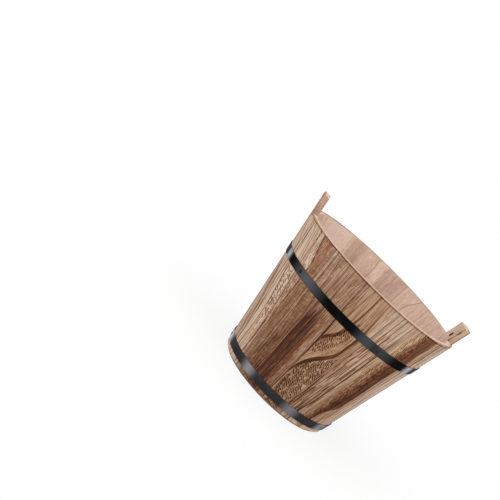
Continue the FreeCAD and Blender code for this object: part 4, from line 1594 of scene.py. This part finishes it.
    def ease_edges(self, stave: bmesh.types.BMesh, place: StavePlace) -> None:
        """Round off the end at the top, the long outside edges and any rope hole.

        Args:
            stave: the stave's mesh.
            place: the stave's place.
        """
        eased = []
        for edge in corner_edges(stave, self.SOFT_CORNER):
            at_top = all(abs(vert.co.z - place.top) < self.NEAR for vert in edge.verts)
            outside = all(
                abs(vert.co.to_2d().length - self.wall.outer(vert.co.z)) < self.NEAR
                for vert in edge.verts
            )
            at_side = all(
                abs(abs(self.turn_of(vert.co, place)) - place.angle / 2) < self.NEAR_TURN
                for vert in edge.verts
            )
            if at_top or (outside and at_side):
                eased.append(edge)
        bevel(stave, eased, self.arris, self.ease_steps)
        if self.is_tall(place):
            reach = self.HOLE_MARGIN * self.hole_radius
            seat = self.wall.seat(place.middle, self.wall.rim_height + self.hole_rise).inverted()
            rim = [
                edge for edge in corner_edges(stave, self.HOLE_CORNER)
                if all((seat @ vert.co).to_2d().length < reach for vert in edge.verts)
            ]
            bevel(stave, rim, self.hole_ease, self.ease_steps)

    def paint(self, stave: bmesh.types.BMesh, place: StavePlace) -> None:
        """Number each face for its finish: burnt outside, sawn ends, sides of a tall stave, raw elsewhere.

        Args:
            stave: the stave's mesh.
            place: the stave's place.
        """
        stave.normal_update()
        for face in stave.faces:
            if face.material_index == StaveFace.BORE:
                continue
            middle = face.calc_center_median()
            outward = face.normal.to_2d().dot(middle.to_2d().normalized())
            on_outside = abs(middle.to_2d().length - self.wall.outer(middle.z)) < 2 * self.arris
            face.material_index = StaveFace.RAW
            if on_outside and outward > self.FACING and abs(face.normal.z) < self.UPRIGHT:
                face.material_index = StaveFace.BURNT
            elif abs(face.normal.z) > self.LEVEL:
                face.material_index = StaveFace.END
            elif self.is_tall(place) and abs(outward) < self.FACING:
                face.material_index = StaveFace.SIDE

    def build(self) -> list[bpy.types.Object]:
        """Make and dress every stave.

        Returns:
            The staves' pieces.
        """
        ends = EndGrain().build("sawn_end")
        pieces = []
        for number, place in enumerate(self.layout()):
            stave = self.blank(place)
            if self.is_tall(place):
                self.bore(stave, place)
            self.ease_edges(stave, place)
            self.paint(stave, place)
            seed = self.FIRST_SEED + self.SEED_STEP * number
            face = FACES[place.node].build(
                f"{place.node}_burnt", place.middle, place.angle / 2, place.top / MILLIMETRE, seed
            )
            inside = INSIDES.get(place.node, PLAIN_INSIDE)
            raw = inside.build(f"{place.node}_raw", place.middle, seed + self.INSIDE_SEED)
            finishes = [face, raw, ends]
            if place.node in SIDES:
                side = SIDES[place.node]
                finishes.append(side.build(f"{place.node}_side", place.middle, seed + self.SIDE_SEED))
                finishes.append(PAINTED_SHADE_BORE.build(f"{place.node}_bore", place.middle, seed))
            pieces.append(finish_piece(stave, place.node, finishes))
        return pieces


@dataclass
class Bottom:
    """The boarded bottom: three boards, the middle one with a drain hole, and the pins between them."""

    low: float = field(default_factory=lambda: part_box("bottom_board_middle")[0].z)
    high: float = field(default_factory=lambda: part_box("bottom_board_middle")[1].z)
    radius: float = field(default_factory=lambda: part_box("bottom_board_middle")[1].x)
    drain_radius: float = 0.006
    arris: float = 0.0005
    round_steps: int = 144
    drain_steps: int = 48
    tones: tuple[float, ...] = (0.56, 0.68, 0.6)
    first_seed: float = 20.0
    dowel_finish: BoardFace = BoardFace(0.6, lines=0.1, shade=Shade.PALE)
    dowel_seed: float = 31.0

    BOARD_LINES = 0.24
    BOARD_PITCH = 2.6

    def board(self, near: float, far: float) -> bmesh.types.BMesh:
        """Cut a strip out of the disc.

        Args:
            near: the strip's lower edge along Y.
            far: the strip's upper edge along Y.

        Returns:
            A mesh with the strip's one flat face at the board's underside.
        """
        strip = bmesh.new()
        bmesh.ops.create_circle(strip, cap_ends=True, segments=self.round_steps, radius=self.radius,
                                matrix=Matrix.Translation((0, 0, self.low)))
        for edge, outward in ((near, -1), (far, 1)):
            geometry = strip.verts[:] + strip.edges[:] + strip.faces[:]
            bmesh.ops.bisect_plane(strip, geom=geometry, plane_co=(0, edge, 0), plane_no=(0, outward, 0),
                                   clear_outer=True)
        return strip

    def drill(self, strip: bmesh.types.BMesh) -> None:
        """Open the drain hole: the flat face is filled again between its outline and a ring.

        Args:
            strip: the middle board's mesh.
        """
        bmesh.ops.delete(strip, geom=strip.faces[:], context="FACES_ONLY")
        bmesh.ops.create_circle(strip, cap_ends=False, segments=self.drain_steps, radius=self.drain_radius,
                                matrix=Matrix.Translation((0, 0, self.low)))
        bmesh.ops.triangle_fill(strip, use_beauty=True, use_dissolve=False, edges=strip.edges[:])

    def build(self) -> list[bpy.types.Object]:
        """Make and dress the boards, and dress the pins.

        Returns:
            The boards' pieces.
        """
        width = 2 * self.radius / 3
        pieces = []
        for number, name in enumerate(("front", "middle", "back")):
            node = f"bottom_board_{name}"
            near = -self.radius + number * width
            strip = self.board(near, near + width)
            if name == "middle":
                self.drill(strip)
            raised = bmesh.ops.extrude_face_region(strip, geom=strip.faces[:])["geom"]
            tops = [item for item in raised if isinstance(item, bmesh.types.BMVert)]
            bmesh.ops.translate(strip, verts=tops, vec=(0, 0, self.high - self.low))
            bmesh.ops.recalc_face_normals(strip, faces=strip.faces[:])
            bevel(strip, corner_edges(strip), self.arris)
            wood = BoardFace(self.tones[number], lines=self.BOARD_LINES, pitch=self.BOARD_PITCH)
            finish = wood.build(f"{node}_raw", 0.0, self.first_seed + number)
            pieces.append(finish_piece(strip, node, [finish]))
        pins = self.dowel_finish.build("dowel_beech", 0.0, self.dowel_seed)
        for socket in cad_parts["bottom_dowels"].material_slots:
            socket.material = pins
        LOG.info("bottom_dowels: CAD mesh kept")
        return pieces


@dataclass
class StrapHoop:
    """A black strap bent round the wall, with its end lapped and riveted at the back."""

    wall: Wall
    node: str
    height: float
    width: float = 0.012
    gauge: float = 0.001
    play: float = 0.00005
    lap_length: float = 0.026
    lap_turn: float = 90.0
    ease: float = 0.0003
    round_steps: int = 180
    lap_steps: int = 16

    def section(self, turn: float, inside: float) -> list[Vector]:
        """Corners of the strap's section.

        Args:
            turn: angle round the planter, in degrees.
            inside: how far its inner face stands off the wall.

        Returns:
            Four points.
        """
        seat = self.wall.seat(turn, self.height)
        outside = inside + self.gauge
        half = self.width / 2
        return [seat @ Vector((0, up, out))
                for up, out in ((-half, inside), (-half, outside), (half, outside), (half, inside))]

    def build(self, lacquer: bpy.types.Material) -> bpy.types.Object:
        """Make and dress the hoop.

        Args:
            lacquer: the strap's finish.

        Returns:
            The hoop's piece.
        """
        hoop = bmesh.new()
        ring = [hoop.verts.new(corner) for corner in self.section(self.lap_turn, self.play)]
        edges = [hoop.edges.new(pair) for pair in zip(ring, ring[1:] + ring[:1])]
        bmesh.ops.spin(hoop, geom=ring + edges, cent=(0, 0, 0), axis=(0, 0, 1), angle=math.tau,
                       steps=self.round_steps, use_merge=True, use_duplicate=False)
        bmesh.ops.remove_doubles(hoop, verts=hoop.verts[:], dist=WELD)
        self.add_lap(hoop)
        bmesh.ops.recalc_face_normals(hoop, faces=hoop.faces[:])
        bevel(hoop, corner_edges(hoop), self.ease)
        return finish_piece(hoop, self.node, [lacquer])

    def add_lap(self, hoop: bmesh.types.BMesh) -> None:
        """Lay the strap's free end over the band, easing down to it where the strap climbs.

        Args:
            hoop: the hoop's mesh.
        """
        angle = math.degrees(self.lap_length / self.wall.outer(self.height))
        start = self.lap_turn - angle / 2
        corners = [hoop.verts.new(corner) for corner in self.section(start, self.play + self.gauge)]
        tab = hoop.faces.new(corners)
        before = set(hoop.verts) - set(corners)
        bmesh.ops.spin(hoop, geom=[tab], cent=(0, 0, 0), axis=(0, 0, 1), angle=math.radians(angle),
                       steps=self.lap_steps, use_duplicate=False)
        climb, tuck = 0.3, 0.9
        for vert in set(hoop.verts) - before:
            turn = math.degrees(math.atan2(vert.co.y, vert.co.x))
            share = min(max((turn - start) / (climb * angle), 0.0), 1.0)
            drop = tuck * self.gauge * (1 - share * share * (3 - 2 * share))
            vert.co -= vert.co.to_2d().normalized().to_3d() * drop


@dataclass
class Fasteners:
    """Nails that hold a hoop to the staves, or rivets that close its lap: domed heads on shanks."""

    wall: Wall
    node: str
    height: float
    turns: list[float]
    face: float
    head_radius: float
    head_height: float
    shank_radius: float
    shank_depth: float
    point: float = 0.0
    round_steps: int = 24
    dome_steps: int = 5

    def section(self) -> list[tuple[float, float]]:
        """Outline of one fastener.

        Returns:
            Radii and places along the axis, from the top of the head down to the shank's end.
        """
        straight = 0.25
        dome = []
        for number in range(self.dome_steps + 1):
            angle = number / self.dome_steps * math.pi / 2
            rise = self.head_height * (straight + (1 - straight) * math.cos(angle))
            dome.append((self.head_radius * math.sin(angle), self.face + rise))
        dome.append((self.head_radius, self.face))
        shank = [(self.shank_radius, self.face), (self.shank_radius, self.point - self.shank_depth)]
        return dome + shank + [(0.0, -self.shank_depth)]

    def build(self, lacquer: bpy.types.Material) -> bpy.types.Object:
        """Make and dress the fasteners.

        Args:
            lacquer: their finish.

        Returns:
            One piece with all of them.
        """
        pins = bmesh.new()
        for turn in self.turns:
            before = set(pins.verts)
            profile = [pins.verts.new((radius, 0, along)) for radius, along in self.section()]
            edges = [pins.edges.new(pair) for pair in zip(profile, profile[1:])]
            bmesh.ops.spin(pins, geom=profile + edges, cent=(0, 0, 0), axis=(0, 0, 1), angle=math.tau,
                           steps=self.round_steps, use_merge=True, use_duplicate=False)
            new = [vert for vert in pins.verts if vert not in before]
            bmesh.ops.remove_doubles(pins, verts=new, dist=WELD)
            new = [vert for vert in pins.verts if vert not in before]
            bmesh.ops.transform(pins, matrix=self.wall.seat(turn, self.height), verts=new)
        bmesh.ops.recalc_face_normals(pins, faces=pins.faces[:])
        return finish_piece(pins, self.node, [lacquer])


@dataclass
class Ironwork:
    """Both hoops with their nails and rivets."""

    wall: Wall
    nail_count: int = 5
    nail_head: tuple[float, float] = (0.0023, 0.0009)
    nail_shank: float = 0.0008
    nail_point: float = 0.0015
    nail_cover: float = 0.0014
    rivet_spacing: float = 0.013
    rivet_head: tuple[float, float] = (0.00275, 0.0012)
    rivet_shank: float = 0.0015
    first_nails: dict[str, float] = field(
        default_factory=lambda: {"upper_hoop": -68.0, "lower_hoop": -104.0}
    )
    # The heads' places are painted glints and highlights on five of the nails.
    head_finish: BlackLacquer = BlackLacquer((30, 31, 34), (58, 59, 62), (0.22, 0.34), (
        (-176.0, 2.0, 0.6), (-140.0, 2.0, 0.02), (-104.0, 2.0, 0.06), (-68.0, 2.0, 0.015),
        (-32.0, 2.0, 0.6),
    ))
    # Each hoop's places are painted highlights and reflections at set angles round its strap.
    finishes: dict[str, BlackLacquer] = field(default_factory=lambda: {
        "upper_hoop": BlackLacquer(places=(
            (-162.8, 3.1, 0.95), (-132.4, 10.6, 0.28), (-78.3, 6.0, 0.2), (-65.3, 7.5, 0.14),
            (-35.3, 3.5, 1.0), (28.0, 6.0, 0.2), (71.0, 8.0, 0.14), (128.0, 6.0, 0.2),
        ), index=1.023),
        # The lower hoop's lacquer is paler than the upper one's: painted light, reflected from the floor
        # close by.
        "lower_hoop": BlackLacquer((50, 49, 51), (60, 59, 61), places=(
            (-170.6, 6.0, 1.0), (-124.2, 5.4, 0.84), (-75.0, 5.8, 0.56), (-35.0, 5.5, 0.62),
            (16.0, 6.0, 0.3), (64.0, 8.0, 0.3), (138.0, 6.0, 0.3),
        )),
    })

    def hoop_height(self, node: str) -> float:
        """Height of the middle of a hoop's strap in the frame."""
        low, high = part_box(node)
        return (low.z + high.z) / 2

    def build(self) -> list[bpy.types.Object]:
        """Make and dress the hoops, nails and rivets.

        Returns:
            Their pieces.
        """
        heads = self.head_finish.build("fastener_lacquer")
        wall_lean = math.cos(math.atan(self.wall.flare))
        nail_depth = (self.wall.thickness - self.wall.groove_depth) * wall_lean - self.nail_cover
        pieces = []
        for node, first in self.first_nails.items():
            hoop = StrapHoop(self.wall, node, self.hoop_height(node))
            pieces.append(hoop.build(self.finishes[node].build(f"{node}_lacquer")))
            band_face = hoop.play + hoop.gauge
            lap_face = band_face + hoop.gauge
            nail_turns = [first + 360 * number / self.nail_count for number in range(self.nail_count)]
            nails = Fasteners(
                self.wall, f"{node}_nails", hoop.height, nail_turns, band_face,
                *self.nail_head, self.nail_shank, nail_depth, self.nail_point,
            )
            half_gap = math.degrees(self.rivet_spacing / self.wall.outer(hoop.height)) / 2
            rivet_turns = [hoop.lap_turn - half_gap, hoop.lap_turn + half_gap]
            rivets = Fasteners(
                self.wall, f"{node}_rivets", hoop.height, rivet_turns, lap_face,
                *self.rivet_head, self.rivet_shank, -hoop.play,
            )
            pieces += [nails.build(heads), rivets.build(heads)]
        return pieces


@dataclass(frozen=True)
class Lamp:
    """A soft lamp aimed at the planter: its turn from the camera's side, its lift, distance and size."""

    name: str
    turn: float
    lift: float
    distance: float
    width: float
    height: float
    power: float


@dataclass
class Studio:
    """A white floor and surround, soft lamps, and a camera that is rolled on its side."""

    camera_turn: float = -99.3
    camera_distance: float = 1.3618
    camera_height: float = 0.3906
    heading: float = 3.098
    pitch: float = 11.759
    roll: float = 44.084
    lens: float = 75.96
    sensor: float = 36.0
    near_clip: float = 0.01
    floor_size: float = 12.0
    floor_tones: tuple[float, float] = (0.86, 0.9)
    floor_speckle: float = 40.0
    floor_roughness: float = 0.9
    white_share: float = 0.88
    shadow_reach: tuple[float, float] = (0.13, 0.4)
    surround: float = 0.42
    aim: tuple[float, float, float] = (0.0, 0.0, 0.13)
    lamps: tuple[Lamp, ...] = (
        Lamp("key", -45.0, 24.0, 1.7, 1.1, 1.1, 10.5),
        Lamp("fill", 52.0, 16.0, 1.7, 1.1, 1.1, 7.8),
        Lamp("top", 0.0, 82.0, 1.6, 1.0, 1.0, 13.0),
    )

    def build(self) -> None:
        """Set the stage round the planter."""
        bpy.context.scene.view_settings.view_transform = "Standard"
        self.make_floor()
        self.make_world()
        for lamp in self.lamps:
            self.hang(lamp)
        self.make_camera()

    def seen_directly(self, sheet: NodeSheet) -> Socket:
        """Tell direct looks at the background from its light on the planter.

        Args:
            sheet: where the nodes go.

        Returns:
            1 for a look by the camera, in a reflection or through a clear surface, and 0 otherwise.
        """
        path = sheet.add("ShaderNodeLightPath").outputs
        sight = sheet.math("MAXIMUM", path["Is Camera Ray"], path["Is Glossy Ray"])
        return sheet.math("MAXIMUM", sight, path["Is Transmission Ray"])

    def make_floor(self) -> None:
        """Lay a pale floor that shows white but keeps the planter's shadow, and is clear from below."""
        sheet, shader = new_material("studio_floor")
        here = sheet.here()
        speckle = sheet.noise(here, scale=self.floor_speckle)
        tones = [(tone, tone, tone, 1.0) for tone in self.floor_tones]
        sheet.feed(shader.inputs["Base Color"], sheet.mix(speckle, *tones))
        shader.inputs["Roughness"].default_value = self.floor_roughness
        shader.inputs["Specular IOR Level"].default_value = 0.0
        white = sheet.add("ShaderNodeEmission", {"Color": WHITE, "Strength": 1.0})
        away = sheet.add("ShaderNodeVectorMath", {"Vector": here}, operation="LENGTH").outputs["Value"]
        white_share = sheet.spread(sheet.ease(away, *self.shadow_reach), self.white_share, 1.0)
        share = sheet.math("MULTIPLY", self.seen_directly(sheet), white_share)
        lit = sheet.mix_shaders(share, shader.outputs["BSDF"], white.outputs["Emission"])
        below = sheet.add("ShaderNodeNewGeometry").outputs["Backfacing"]
        clear = sheet.add("ShaderNodeBsdfTransparent").outputs["BSDF"]
        surface = sheet.tree.nodes["Material Output"].inputs["Surface"]
        sheet.feed(surface, sheet.mix_shaders(below, lit, clear))
        plane = bmesh.new()
        bmesh.ops.create_grid(plane, x_segments=1, y_segments=1, size=self.floor_size / 2)
        mesh = bpy.data.meshes.new("floor")
        plane.to_mesh(mesh)
        plane.free()
        mesh.materials.append(material_of(sheet))
        floor = bpy.data.objects.new("floor", mesh)
        bpy.context.scene.collection.objects.link(floor)

    def make_world(self) -> None:
        """Surround the planter with even light that shows white."""
        world = bpy.data.worlds.new("white_surround")
        world.use_nodes = True
        bpy.context.scene.world = world
        sheet = NodeSheet(world.node_tree)
        background = world.node_tree.nodes["Background"]
        background.inputs["Color"].default_value = WHITE
        strength = sheet.spread(self.seen_directly(sheet), self.surround, 1.0)
        sheet.feed(background.inputs["Strength"], strength)

    def hang(self, lamp: Lamp) -> None:
        """Hang one lamp and aim it at the planter.

        Args:
            lamp: the lamp.
        """
        light = bpy.data.lights.new(lamp.name, "AREA")
        light.shape = "RECTANGLE"
        light.size = lamp.width
        light.size_y = lamp.height
        light.energy = lamp.power
        holder = bpy.data.objects.new(lamp.name, light)
        level = lamp.distance * math.cos(math.radians(lamp.lift))
        up = lamp.distance * math.sin(math.radians(lamp.lift))
        place = Wall.around(level, self.camera_turn + lamp.turn, self.aim[2] + up)
        aim = (place - Vector(self.aim)).to_track_quat("Z", "Y").to_matrix().to_4x4()
        holder.matrix_world = Matrix.Translation(place) @ aim
        bpy.context.scene.collection.objects.link(holder)

    def make_camera(self) -> None:
        """Stand the camera at the viewing angle, rolled so that the planter leans over in the frame."""
        heading, pitch, roll = (math.radians(angle) for angle in (self.heading, self.pitch, self.roll))
        level = math.cos(pitch)
        forward = Vector((math.sin(heading) * level, math.cos(heading) * level, -math.sin(pitch)))
        right = Vector((math.cos(heading), -math.sin(heading), 0.0))
        upward = right.cross(forward)
        across = right * math.cos(roll) + upward * math.sin(roll)
        above = upward * math.cos(roll) - right * math.sin(roll)
        turn = Matrix((across, above, -forward)).transposed().to_4x4()
        camera = bpy.data.cameras.new("camera")
        camera.lens = self.lens
        camera.sensor_width = self.sensor
        camera.clip_start = self.near_clip
        holder = bpy.data.objects.new("camera", camera)
        place = Wall.around(self.camera_distance, self.camera_turn, self.camera_height)
        holder.matrix_world = Matrix.Translation(place) @ turn
        bpy.context.scene.collection.objects.link(holder)
        bpy.context.scene.camera = holder


def main() -> None:
    """Build the planter's pieces in order, then the studio round them."""
    logging.basicConfig(level=logging.INFO, format="%(name)s: %(message)s")
    wall = Wall()
    for part in (StaveWall(wall), Bottom(), Ironwork(wall)):
        pieces = part.build()
        LOG.info("%s: %d pieces", type(part).__name__, len(pieces))
    Studio().build()


if __name__ == "__main__":
    main()
